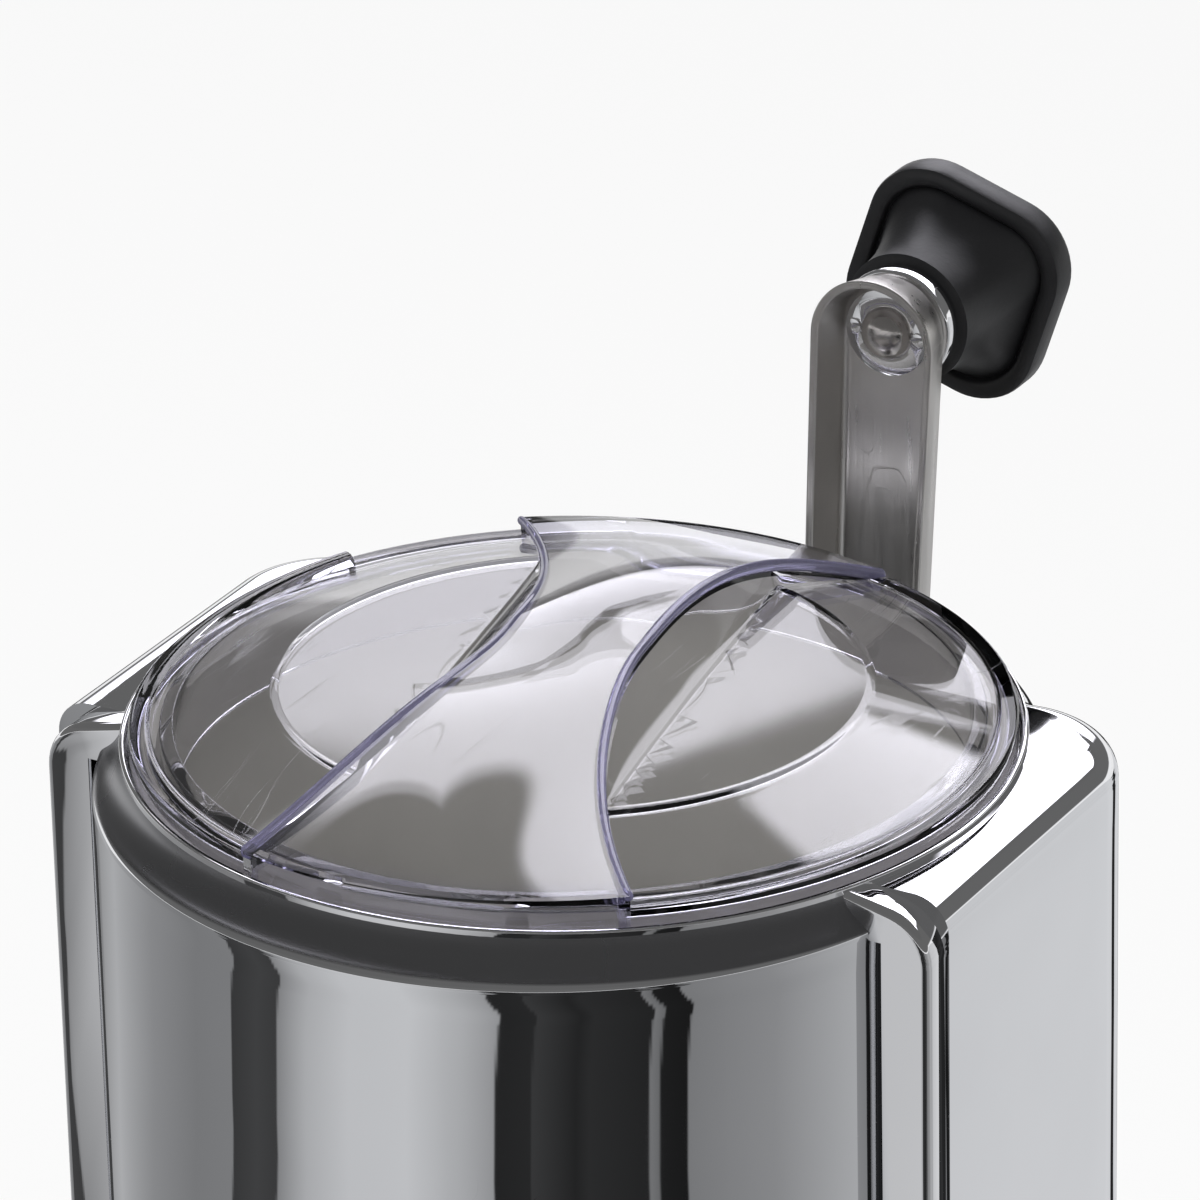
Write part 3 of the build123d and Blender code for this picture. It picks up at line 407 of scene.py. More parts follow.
lidShape = {
    "radius": 58.0,
    "rimHeight": 218.0,  # plane of the chrome lip
    "discRadius": 38.7,
    "discRise": 7.3,
    "rimRise": 2.0,
    "seat": -2.0,  # underside of the rim
    "wall": 2.1,
    "gripAxis": 100.0,  # degrees in plan
    "ridgeCentre": 99.1,  # each ridge is an arc of ridgeRadius about a point this far aside
    "ridgeRadius": 89.8,
    "foot": 16.45,  # least distance of a wall's foot from the grip's axis
    "waist": 9.3,  # half the grip's width at its middle
    "crest": 12.9,  # mean ridge height at the middle
    "crestFall": 9.1,
    "twist": 1.9,
    "twistReach": 44.0,  # from the waist to where the ridges are level again
    "twistEnd": 1.107,  # share of that reach beyond which the twist is held
    "crown": 0.8,
    "beadStart": 52.0,  # degrees from the grip's axis to the bead's square end
    "beadSweep": 60.0,
    "beadTop": 4.3,
    "beadSink": 2.0,
    "beadInner": 54.6,
    "beadMiddle": 56.2,
    "beadHalf": 1.55,
    "beadRound": 0.9,  # how far its top falls towards both sides
    "bandInner": 55.4,
    "bandRise": 2.75,
    "bandEdge": 57.6,  # from here out the band is rounded, by bandFall
    "bandFall": 0.35,
    "groove": 0.16,  # depth and width of the groove between slope and band
    "hollow": 55.7,  # the outer wall stands outside this radius
    "edgeThin": 0.7,  # radius of the rounded edge along each ridge, at its low and high end
    "edgeThick": 1.0,
    "edgeReach": 51.7,
}


def ridgeHalf(s):
    # half the grip's width at the ridge tops, at distance s along the grip
    return lidShape["ridgeCentre"] - np.sqrt(lidShape["ridgeRadius"] ** 2 - s**2)


def ridgeMean(r):
    # mean height of the two ridges: a quarter cosine from the waist of the grip to the rim
    share = np.clip((r - lidShape["waist"]) / (lidShape["radius"] - lidShape["waist"]), 0, 1)
    return lidShape["crest"] - lidShape["crestFall"] * (1 - np.cos(np.pi / 2 * share))


def ridgeTwist(r):
    # how far the high ridge stands over the mean and the low one below it: a sine from the waist out
    share = np.clip((r - lidShape["waist"]) / lidShape["twistReach"], 0, lidShape["twistEnd"])
    return lidShape["twist"] * np.sin(np.pi * share)


def plateHeight(r):
    # flat disc inside, then a straight slope down to the rim
    disc = lidShape["discRadius"]
    share = np.clip((r - disc) / (lidShape["radius"] - disc), 0, 1)
    return lidShape["discRise"] + (lidShape["rimRise"] - lidShape["discRise"]) * share


def rimHeight(r, bearing):
    # Disc and slope, then a groove and a flat band round the rim, whose edge falls by a parabola. On
    # the left a bead stands on it, square at one end and sinking by the sine of its sweep.
    groove, inner, edge = (lidShape[k] for k in ("groove", "bandInner", "bandEdge"))
    height = np.where(r < inner, plateHeight(r), lidShape["bandRise"])
    height = height - groove * np.exp(-(((r - inner) / groove) ** 2))
    height = height - lidShape["bandFall"] * np.clip((r - edge) / 0.4, 0, 1) ** 2
    if bearing is None:
        return height
    after = bearing - lidShape["beadStart"]
    swept = np.radians(np.clip(after, 0, lidShape["beadSweep"]))
    across = np.clip(np.abs((r - lidShape["beadMiddle"]) / lidShape["beadHalf"]), 0, 1)
    top = lidShape["beadTop"] - lidShape["beadSink"] * np.sin(swept)
    top = top - lidShape["beadRound"] * across**3
    inside = np.clip((r - lidShape["beadInner"]) / 0.12, 0, 1) * np.clip((57.95 - r) / 0.2, 0, 1)
    stands = (after > 0) & (after < lidShape["beadSweep"])
    return np.where(stands, height + np.maximum(top - height, 0) * inside, height)


def lidPatches():
    # Rows run along the grip (s); columns run from one ridge to the other, down the wall and out to the
    # rim in the recess. The underside is the same surface, lower by the wall.
    radius = lidShape["radius"]
    low, high = 40.0, 57.0
    for _ in range(40):  # where a ridge meets the rim
        middle = (low + high) / 2
        within = middle**2 + ridgeHalf(middle) ** 2 < radius**2
        low, high = (middle, high) if within else (low, middle)
    end = low
    along = end * np.sin(np.linspace(-np.pi / 2, np.pi / 2, 181))
    # two rows close together where the bead starts
    foot = np.maximum(lidShape["foot"], ridgeHalf(along))
    bearing = np.degrees(np.arctan2(foot, along))
    stop = np.interp(lidShape["beadStart"], bearing[::-1], along[::-1])
    along = np.sort(np.concatenate([along, [stop - 0.02, stop + 0.02]]))
    half = ridgeHalf(along)
    foot = np.maximum(lidShape["foot"], half + 0.02)
    reach = np.hypot(along, half)
    lift = ridgeTwist(reach) * np.sign(along)
    rise = ridgeMean(reach)
    axis = np.radians(lidShape["gripAxis"])
    forward = np.array([np.cos(axis), np.sin(axis)])
    aside = np.array([-np.sin(axis), np.cos(axis)])

    def place(s, t, z):
        s, t, z = np.broadcast_arrays(s, t, z)
        x = s * forward[0] + t * aside[0]
        y = s * forward[1] + t * aside[1]
        return np.stack([x, y, lidShape["rimHeight"] + z], axis=-1)

    # Grip: the ridges' heights joined by a straight line plus a parabola for the crown. Towards the
    # rim the rows bend until the last one is the rim's own circle.
    q = np.linspace(-1, 1, 61)[None, :]
    share = (along / end)[:, None]
    t = q * half[:, None]
    s = share * np.sqrt(radius**2 - (q * half[0]) ** 2)
    crown = ridgeMean(np.abs(share[:, 0]) * radius) - rise
    crown = crown + lidShape["crown"] * (1 - share[:, 0] ** 8)
    z = rise[:, None] - lift[:, None] * q + crown[:, None] * (1 - q**2)
    grip = place(s, t, z)
    tops = [grip]
    edges = [grip[0], grip[-1]]
    for side in (1, -1):
        # wall from the ridge's top edge down to its foot, hollowed a little
        top = rise - lift * side
        base = rimHeight(np.hypot(along, foot), None)
        p = np.linspace(0, 1, 13)[None, :]
        t = half[:, None] + (foot - half)[:, None] * p
        z = top[:, None] + (base - top)[:, None] * (1 - (1 - p) ** 1.5)
        tops.append(place(along[:, None], side * t, z))
        # recess: straight out from the foot to the rim, in rings that lie close where it bends
        start = np.hypot(along, foot)
        angle = np.arctan2(foot, along)
        rings = [
            0, 38.2, 38.7, 39.2, 44, 49, 52, 54.5, 54.6, 54.73, 54.95, 55.1, 55.25, 55.33, 55.4, 55.47,
            55.55, 55.7, 55.85, 56.0, 56.4, 56.9, 57.3, 57.6, 57.75, 57.95, 58.0,
        ]
        rings = np.sort(np.concatenate([rings, np.linspace(3, 36, 10)]))
        r = np.minimum(np.maximum(start[:, None], rings[None, :]), radius)
        z = rimHeight(r, np.degrees(angle)[:, None] if side == 1 else None)
        z[:, 0] = base
        recess = place(r * np.cos(angle)[:, None], side * r * np.sin(angle)[:, None], z)
        tops.append(recess)
        edges.append(recess[:, -1])
    patches = []
    seat = lidShape["rimHeight"] + lidShape["seat"]
    for top in tops:
        under = top.copy()
        share = np.clip((np.hypot(top[..., 0], top[..., 1]) - lidShape["hollow"]) / 0.3, 0, 1)
        under[..., 2] = (top[..., 2] - lidShape["wall"]) * (1 - share) + seat * share
        patches += [(top, False, False), (under, False, False)]
    for edge in edges:  # outer edge down to the seat
        lower = edge.copy()
        lower[:, 2] = seat
        p = np.linspace(0, 1, 4)[None, :, None]
        patches.append((edge[:, None] * (1 - p) + lower[:, None] * p, False, False))
    return patches


def ridgeEdgePatches(side):
    # a round bar carried along the top of one ridge; its radius grows towards the ridge's high end
    # and closes to nothing at both ends
    limit = lidShape["edgeReach"]
    s = limit * np.sin(np.linspace(-np.pi / 2, np.pi / 2, 121))
    half = ridgeHalf(s)
    reach = np.hypot(s, half)
    high = np.clip(-side * s / limit, 0, 1)
    thin, thick = lidShape["edgeThin"], lidShape["edgeThick"]
    radius = thin + (thick - thin) * high**0.8
    closing = np.clip((limit - np.abs(s)) / 0.45, 0, 1)
    radius = radius * np.sqrt(1 - (1 - closing) ** 2)
    height = ridgeMean(reach) - ridgeTwist(reach) * np.sign(s) * side
    height = height + lidShape["rimHeight"] - radius * 0.55
    axis = np.radians(lidShape["gripAxis"])
    forward = np.array([np.cos(axis), np.sin(axis), 0])
    aside = np.array([-np.sin(axis), np.cos(axis), 0])
    upward = np.array([0, 0, 1])
    path = s[:, None] * forward + side * half[:, None] * aside + height[:, None] * upward
    turn = np.linspace(0, 2 * np.pi, 16, endpoint=False)[None, :, None]
    ring = np.cos(turn) * aside + np.sin(turn) * upward
    return [(path[:, None] + radius[:, None, None] * ring, False, True)]


meshPiece("lidTop", lidPatches(), "clear_lid", "lid", ("lid",), sharp=28)
for ridgeName, side in (("ridgeEdgeLeft", 1), ("ridgeEdgeRight", -1)):
    meshPiece(ridgeName, ridgeEdgePatches(side), "lid_ridge", "lid", sharp=60)

# the ring below the lid that drops into the liner
spigotShape = {
    "corners": ((53.6, 219.1), (53.6, 209.0), (51.7, 209.0), (51.7, 219.6)),
    "radius": 0.3,
}
ringPiece("lidSpigot", roundedProfile(**spigotShape), "clear_lid", "lid")
print("lid made")


shellShape = {
    "foot": 5.0,
    "top": 217.6,
    "lip": 59.3,  # radius of the opening at the top
    "wall": 2.5,
    "seam": -21.5,  # y where the front lobe meets the rear shell
    "frontRadius": 61.6,
    "frontCentre": -2.7,
    "side": 66.0,
    "rearRadius": 61.9,
    "corner": (51.0, 23.0),  # centre of each side lobe's rounded corner
    "cornerRadius": 15.0,
    "shoulder": 5.0,
    "edgeTurn": 1.2,  # height over which the front wall turns into the collar
    "collarOuter": (64.5, 213.1),
    "collarHollow": 6.5,
    "archHalf": 46.0,  # the container's opening: half its width, top and corner radius
    "archTop": 88.0,
    "archCorner": 30.0,
    "bayFloor": 8.5,
    "seamReach": 55.6,  # how far in the rear shell's forward faces go
    "within": (0, 0, 110),  # point that the shells' outer faces look away from
    "axle": 138.0,  # height of the crank's axle
}


def collarHeight(r):
    # concave arc through the lip and the collar's outer edge
    a = np.array([shellShape["lip"], shellShape["top"]])
    b = np.array(shellShape["collarOuter"])
    middle = (a + b) / 2
    chord = b - a
    length = np.hypot(*chord)
    away = np.array([-chord[1], chord[0]]) / length  # points up and out
    hollow = shellShape["collarHollow"]
    centre = middle + away * np.sqrt(hollow**2 - (length / 2) ** 2)
    return centre[1] - np.sqrt(hollow**2 - (r - centre[0]) ** 2)


def frontShellPatches():
    # Rows follow the lobe's arc; columns rise up the wall, round its edge and cross the collar. The
    # wall is left open under the arch, whose edge is a quarter of a circle at each corner.
    radius, centre = shellShape["frontRadius"], shellShape["frontCentre"]
    seamAngle = np.arccos((centre - shellShape["seam"]) / radius)
    archAngle = np.arcsin(shellShape["archHalf"] / radius)
    flatAngle = np.arcsin((shellShape["archHalf"] - shellShape["archCorner"]) / radius)
    inner = archAngle - (archAngle - flatAngle) * np.linspace(0, 1, 28) ** 2
    halfAngles = np.concatenate(
        [np.linspace(0, flatAngle, 14)[:-1], inner[::-1], np.linspace(archAngle, seamAngle, 22)[1:]]
    )
    angles = np.concatenate([-halfAngles[::-1], halfAngles[1:]])
    x = radius * np.sin(angles)
    y = centre - radius * np.cos(angles)
    reach = np.hypot(x, y)
    edge = collarHeight(reach)
    lip, edgeTurn = shellShape["lip"], shellShape["edgeTurn"]

    def wallPatch(rows, low, high, count):
        p = np.linspace(0, 1, count)[None, :]
        z = low[rows][:, None] + (high[rows] - low[rows])[:, None] * p
        flat = np.ones_like(z)
        return np.stack([x[rows][:, None] * flat, y[rows][:, None] * flat, z], axis=-1)

    every = np.arange(len(x))
    size = np.abs(x)
    corner = shellShape["archCorner"]
    bend = np.clip(size - (shellShape["archHalf"] - corner), 0, corner)
    archEdge = shellShape["archTop"] - corner + np.sqrt(corner**2 - bend**2)
    full = np.ones_like(x)
    archTop, bayFloor = full * shellShape["archTop"], full * shellShape["bayFloor"]
    patches = [
        wallPatch(every, archTop, edge - edgeTurn, 30),
        wallPatch(every, archEdge, archTop, 8),
        wallPatch(every, full * shellShape["foot"], bayFloor, 2),
    ]
    beside = shellShape["archHalf"] - 1e-6
    for rows in (np.where(x <= -beside)[0], np.where(x >= beside)[0]):
        patches.append(wallPatch(rows, bayFloor, archTop - corner, 12))
    # rounded edge: a quadratic curve from the wall to the collar, then the collar up to the lip
    t = np.linspace(0, 1, 7)[None, :]
    bendIn = reach - edgeTurn
    r = quadratic(t, reach[:, None], reach[:, None], bendIn[:, None])
    z = quadratic(t, (edge - edgeTurn)[:, None], edge[:, None], collarHeight(bendIn)[:, None])
    across = bendIn[:, None] + (lip - bendIn)[:, None] * np.linspace(0, 1, 15)[None, 1:]
    r = np.concatenate([r, across], axis=1)
    z = np.concatenate([z, collarHeight(across)], axis=1)
    share = r / reach[:, None]
    patches.append(np.stack([x[:, None] * share, y[:, None] * share, z], axis=-1))
    return [(patch, False, False) for patch in patches]


def rearPlan():
    # Plan points and the directions in which the wall turns in: side, corner, crease and rear lobe.
    # The crease is where the corner's circle meets the rear lobe's. One half is mirrored to the other.
    sideSteps, cornerSteps, fanSteps, rearSteps = 12, 26, 10, 40
    corner = np.array(shellShape["corner"])
    small, big = shellShape["cornerRadius"], shellShape["rearRadius"]
    far = np.hypot(*corner)
    onLine = (big**2 - small**2 + far**2) / (2 * far)
    off = np.sqrt(big**2 - onLine**2)
    unit = corner / far
    crease = unit * onLine + np.array([-unit[1], unit[0]]) * off
    turnEnd = np.arctan2(*(crease - corner)[::-1])
    side = np.linspace(shellShape["seam"], corner[1], sideSteps)
    places = [np.stack([np.full(sideSteps, shellShape["side"]), side], axis=1)]
    inward = [np.tile([-1.0, 0.0], (sideSteps, 1))]
    turn = np.linspace(0, turnEnd, cornerSteps)[1:]
    ring = np.stack([np.cos(turn), np.sin(turn)], axis=1)
    places.append(corner + small * ring)
    inward.append(-ring)
    # fan at the crease, where the direction swings from the corner's centre to the tower's axis
    startTurn = np.arctan2(*(corner - crease)[::-1])
    endTurn = np.arctan2(*(-crease)[::-1])
    fan = np.linspace(startTurn, endTurn, fanSteps)[1:-1]
    places.append(np.tile(crease, (len(fan), 1)))
    inward.append(np.stack([np.cos(fan), np.sin(fan)], axis=1))
    rear = np.linspace(np.arctan2(crease[1], crease[0]), np.pi / 2, rearSteps)
    ring = np.stack([np.cos(rear), np.sin(rear)], axis=1)
    places.append(big * ring)
    inward.append(-ring)
    mirror = np.array([-1.0, 1.0])
    halves = (np.concatenate(places), np.concatenate(inward))
    return [np.concatenate([half, half[-2::-1] * mirror]) for half in halves]


def rearShellPatches():
    # Rows follow the plan; columns rise up the wall, turn over the shoulder by a quarter of a circle
    # and run in to the lip, whose distance along each row's way solves a circle's equation.
    wallSteps, flatSteps = 40, 5
    place, way = rearPlan()
    shoulder = shellShape["shoulder"]
    along = (place * way).sum(axis=1)
    depth = -along - np.sqrt(along**2 - (place**2).sum(axis=1) + shellShape["lip"] ** 2)
    wallPart = np.linspace(shellShape["foot"], shellShape["top"] - shoulder, wallSteps)
    turn = np.linspace(0, np.pi / 2, 13)[None, 1:]
    limit = np.arccos(np.clip(1 - depth / shoulder, 0, 1))[:, None]
    turn = np.minimum(turn, limit)
    inset = shoulder * (1 - np.cos(turn))
    z = shellShape["top"] - shoulder + shoulder * np.sin(turn)
    last = depth[:, None]
    rest = inset[:, -1:] + (last - inset[:, -1:]) * np.linspace(0, 1, flatSteps)[None, 1:]
    zRest = np.broadcast_to(z[:, -1:], rest.shape)
    wallSize = (len(place), wallSteps)
    inset = np.concatenate([np.zeros(wallSize), inset, rest], axis=1)
    height = np.concatenate([np.broadcast_to(wallPart, wallSize), z, zRest], axis=1)
    x = place[:, :1] + way[:, :1] * inset
    y = place[:, 1:] + way[:, 1:] * inset
    grid = np.stack([x, y, height], axis=-1)
    # the faces that look forward beside the seam
    caps = []
    for row, sign in ((0, 1), (-1, -1)):
        edge = grid[row]
        p = np.linspace(0, 1, 3)[:, None, None]
        inner = edge.copy()
        inner[:, 0] = sign * np.minimum(np.abs(edge[:, 0]), shellShape["seamReach"])
        caps.append((edge[None] * (1 - p) + inner[None] * p, False, False))
    return [(grid, False, False)] + caps


meshPiece(
    "frontShell",
    frontShellPatches(),
    "front_chrome",
    "housing",
    ("front_shell",),
    inside=shellShape["within"],
    wall=shellShape["wall"],
    sharp=40,
)
meshPiece(
    "rearShell",
    rearShellPatches(),
    "chrome_shell",
    "housing",
    ("rear_shell",),
    inside=shellShape["within"],
    wall=shellShape["wall"],
    sharp=40,
)

# the boss on the rear lobe, as (radius, y), and the chrome lip round the lid, as (radius, height)
bossShape = {"corners": ((6.0, 58.0), (15.0, 58.0), (15.0, 64.0), (6.0, 64.0)), "radius": 0.8}
lipShape = {
    "corners": ((56.4, 206), (59.3, 206), (59.3, 218.5), (58.4, 218.5), (58.4, 216), (56.4, 216)),
    "radius": 0.35,
}
ringPiece(
    "bearingBoss",
    roundedProfile(**bossShape),
    "chrome_shell",
    "housing",
    centre=(0, 0, shellShape["axle"]),
    alongY=True,
)
ringPiece(
    "topCollar",
    roundedProfile(**lipShape),
    "chrome_trim",
    "housing",
    ("top_collar",),
    steps=240,
)
print("shells made")


armShape = {
    "length": 107.0,  # between the axle and the knob's pin
    "lean": 2.7,  # degrees
    "open": 74.0,  # y of the channel's open edge
    "depth": 7.2,
    "topRadius": 9.3,
    "footRadius": 8.2,
    "splay": 12.0,  # degrees that the flanges open by
    "sheet": 1.2,
    "bend": 1.6,
    "endSteps": 49,
}


def leaning(x, y, z, turn=0.0, atPin=False):
    # from the crank's own upright frame to the leaning one, optionally turned further about the pin
    lean = np.radians(armShape["lean"])
    angle = np.radians(armShape["lean"] + turn)
    worldX = x * np.cos(angle) + z * np.sin(angle)
    worldZ = -x * np.sin(angle) + z * np.cos(angle) + shellShape["axle"]
    if atPin:
        worldX = worldX + armShape["length"] * np.sin(lean)
        worldZ = worldZ + armShape["length"] * np.cos(lean)
    x, y, z = np.broadcast_arrays(worldX, y, worldZ)
    return np.stack([x, y, z], axis=-1)


def armPatches():
    # Rows go round the outline of two joined circles; columns go from the middle of the outer face,
    # over the bend, down the flange, round its edge and back inside to the middle.
    top, foot, length = armShape["topRadius"], armShape["footRadius"], armShape["length"]
    tilt, steps = np.arcsin((top - foot) / length), armShape["endSteps"]
    over = np.linspace(-tilt, np.pi + tilt, steps)
    under = np.linspace(np.pi + tilt, 2 * np.pi - tilt, steps)
    turn = np.concatenate([over, under])
    middle = np.repeat([length, 0.0], steps)
    radius = np.repeat([top, foot], steps)
    slope = np.tan(np.radians(armShape["splay"]))
    depth, sheet, bend = armShape["depth"], armShape["sheet"], armShape["bend"]

    def bendCurve(first, corner, last):
        t = np.linspace(0, 1, 8)[:, None]
        return quadratic(t, *(np.array(p, float)[None] for p in (first, corner, last)))

    # columns as (distance in from the outline, depth); the large distance is the outline's middle
    edgeIn = depth * slope
    floor = depth - sheet
    insideIn = floor * slope + sheet
    outer = bendCurve((edgeIn + bend, depth), (edgeIn, depth), (edgeIn - bend * slope, depth - bend))
    lip = bendCurve((0.05, 0.35), (0.0, -0.15), (0.6, 0.0))
    lipIn = bendCurve((0.6, 0.0), (1.2, -0.15), (1.25, 0.35))
    inner = bendCurve((insideIn - slope, floor - 1.0), (insideIn, floor), (insideIn + 1.0, floor))
    column = np.concatenate([[[99, depth]], outer, lip, lipIn, inner, [[99, floor]]])
    size = np.maximum(radius[:, None] - column[None, :, 0], 0)
    x = size * np.cos(turn)[:, None]
    z = middle[:, None] + size * np.sin(turn)[:, None]
    y = armShape["open"] + np.broadcast_to(column[None, :, 1], x.shape)
    return [(leaning(x, y, z), True, False)]


meshPiece("crankArm", armPatches(), "arm_steel", "crank", ("crank_arm",), sharp=50)


knobShape = {
    "start": 84.3,  # y where the stem begins and where its flare ends
    "flareEnd": 98.5,
    "stem": 18.6,  # side of the rounded square at both
    "flareSide": 24.2,
    "stemCorner": 9.2,
    "flareCorner": 6.9,
    "side": 30.0,
    "corner": 9.5,
    "turn": 16.0,  # degrees about the pin, in the photographed position
    "flare": 2.6,  # power by which the stem widens
    # flange: distance in from its side, and y, from the border at the back to the middle of the face
    "flange": (
        (2.75, 98.45), (2.6, 98.2), (2.5, 97.85), (2.2, 97.62), (1.6, 97.6), (0.6, 97.65),
        (0.15, 97.85), (0.0, 98.3), (0.0, 101.6), (0.12, 102.1), (0.6, 102.9), (1.4, 103.6),
        (2.4, 104.1), (4.0, 104.5), (7.0, 104.8), (11.0, 104.95), (15.0, 105.0),
    ),
}


def knobPatches():
    # Rows go round a rounded square; columns run up the flaring stem, over the raised border and the
    # rim, and in across the face. Half the side and the corner's radius depend on the column alone.
    start, stem = knobShape["start"], knobShape["stem"]
    a = np.linspace(0, 1, 26)
    grow = a ** knobShape["flare"]
    rim = np.array(knobShape["flange"])
    half = (stem + (knobShape["flareSide"] - stem) * grow) / 2
    half = np.concatenate([[0.0, stem / 2 - 0.6], half, knobShape["side"] / 2 - rim[:, 0]])
    corner = knobShape["stemCorner"] + (knobShape["flareCorner"] - knobShape["stemCorner"]) * grow
    rimCorner = np.maximum(knobShape["corner"] - rim[:, 0] * 0.8, 0)
    corner = np.minimum(np.concatenate([[0.0, stem / 2 - 0.7], corner, rimCorner]), half)
    y = np.concatenate([[start, start], start + (knobShape["flareEnd"] - start) * a, rim[:, 1]])
    y[2] = start + 0.3  # the stem's end is broken by a small chamfer
    steps = 15  # in each corner
    quarter = np.linspace(0, np.pi / 2, steps)
    turn = np.concatenate([quarter + k * np.pi / 2 for k in range(4)])
    signX = np.repeat([1, -1, -1, 1], steps)
    signZ = np.repeat([1, 1, -1, -1], steps)
    x = signX[:, None] * (half - corner)[None] + corner[None] * np.cos(turn)[:, None]
    z = signZ[:, None] * (half - corner)[None] + corner[None] * np.sin(turn)[:, None]
    depth = np.broadcast_to(y[None], x.shape)
    return [(leaning(x, depth, z, knobShape["turn"], True), True, False)]


meshPiece("crankKnob", knobPatches(), "black_knob", "knob", ("crank_knob", "knob_cap"), sharp=40)

# the pin with its domed head, and the ferrule below the knob, both as (radius, y)
pinShape = (
    (0.0, 76.4), (1.5, 76.55), (2.7, 77.05), (3.45, 77.8), (3.75, 78.5), (3.8, 78.85),
    (2.5, 78.85), (2.5, 100.5), (0, 100.5),
)
ferruleShape = {"corners": ((2.55, 81.2), (8.2, 81.2), (8.2, 83.95), (2.55, 83.95)), "radius": 0.5}
pin = leaning(0.0, 0.0, 0.0, atPin=True)
ringPiece(
    "knobPinHead",
    pinShape,
    "pin_steel",
    "crank",
    ("knob_pin",),
    centre=(pin[0], 0, pin[2]),
    alongY=True,
    steps=64,
)
ringPiece(
    "knobFerrule",
    roundedProfile(**ferruleShape),
    "chrome_trim",
    "crank",
    ("knob_ferrule",),
    centre=(pin[0], 0, pin[2]),
    alongY=True,
    steps=96,
)
print("crank made")


# width in millimetres of the broken edges of the solids kept from the CAD, by how a name starts
edgeWidth = {
    ("trim", "crank_cap", "boss"): 0.5,
    ("ice_container", "hopper_liner", "inner_deck", "base_plate"): 0.3,
    ("",): 0.15,  # all others
}
for name, node in nodes.items():
    if not node.hide_render:
        dressNode(name, next(width for start, width in edgeWidth.items() if name.startswith(start)))
print("solids dressed")


room = {
    "ambient": 0.55,  # plain soft light on every surface that doesn't mirror
    "behind": 120.0,  # bearing that lies behind the object in the photograph
    "window": 2.4,  # bright panel there: brightness, elevations and bearings in degrees
    "windowLow": 9.0,
    "windowHigh": 26.1,
    "windowFrom": 100.0,
    "windowTo": 129.0,
    "windowFall": (0.18, 0.31),  # its upper border falls to both sides by this much for each degree
    "notch": (122.35, 124.6, 24.2),  # a dark corner of it: bearings and lowest elevation
    "tallFrom": 102.0,  # between these bearings and elevations it reaches the upper panel
    "tallTo": 117.75,
    "tallLow": (24.5, 25.0),
    "tallHigh": (31.0, 31.5),
    "upper": 4.2,  # second panel above it
    "upperFrom": 50.0,
    "upperTo": 152.0,
    "upperLow": 29.5,
    "upperHigh": 57.0,  # at the bearing upperPeak; it falls to both sides of it
    "upperPeak": 128.0,
    "upperFall": 0.28,
    "upperCut": (131.0, 42.0),  # nothing of it beyond this bearing and below this elevation
    "panelTint": (0.94, 0.93, 1.0),
    "horizon": 0.14,  # what is mirrored below and above the panels
    "ceiling": 0.13,
    "ground": (0.95, 0.95, 0.96),
    # cards on the floor round the object, seen only in its reflections: brightness at each bearing,
    # joined by straight lines, so two bearings close together make an edge
    "cards": (
        (-144.6, 0.045), (-137, 0.06), (-131.2, 0.05), (-130.8, 0.26), (-123, 0.47), (-112, 0.6),
        (-98, 0.62), (-86, 0.47), (-78.2, 0.34), (-77.8, 0.02), (-70, 0.024), (-69.7, 0.045),
        (-60, 0.02), (-57, 0.028), (-43.8, 0.02), (-43.4, 0.2), (-41.4, 0.16), (-41, 0.015),
        (-35, 0.012), (-34.6, 0.22), (-14, 0.29), (4, 0.43), (10, 0.47), (17, 0.43), (24, 0.36),
        (24.5, 0.42), (45, 0.62), (62, 0.74), (69.7, 0.7), (70, 0.02), (78, 0.02), (78.5, 0.7),
        (98, 0.75), (98.5, 0.02), (122, 0.02), (126, 0.1), (146, 0.2), (150, 0.34), (163, 0.46),
        (185, 0.29), (203, 0.22), (215, 0.23), (215.4, 0.045),
    ),
    "cardsFrom": 0.07,  # metres from the tower's axis
    "cardsTo": 1.25,
    "cardsLift": 0.0006,
    "cardsRise": 0.22,
    "cardsOpen": (50.0, 70.0),  # they stay flat within the first angle from behind, rise past the second
    "waver": ((1.8, 21, 1.0), (0.6, 57, 2.0), (0.12, 160, 0.0)),  # degrees, waves per metre, start
    "lit": (0, 0, 0.15),  # where the lamps point
    "floor": 3.0,  # half its side
    "floorGlow": 0.82,
}


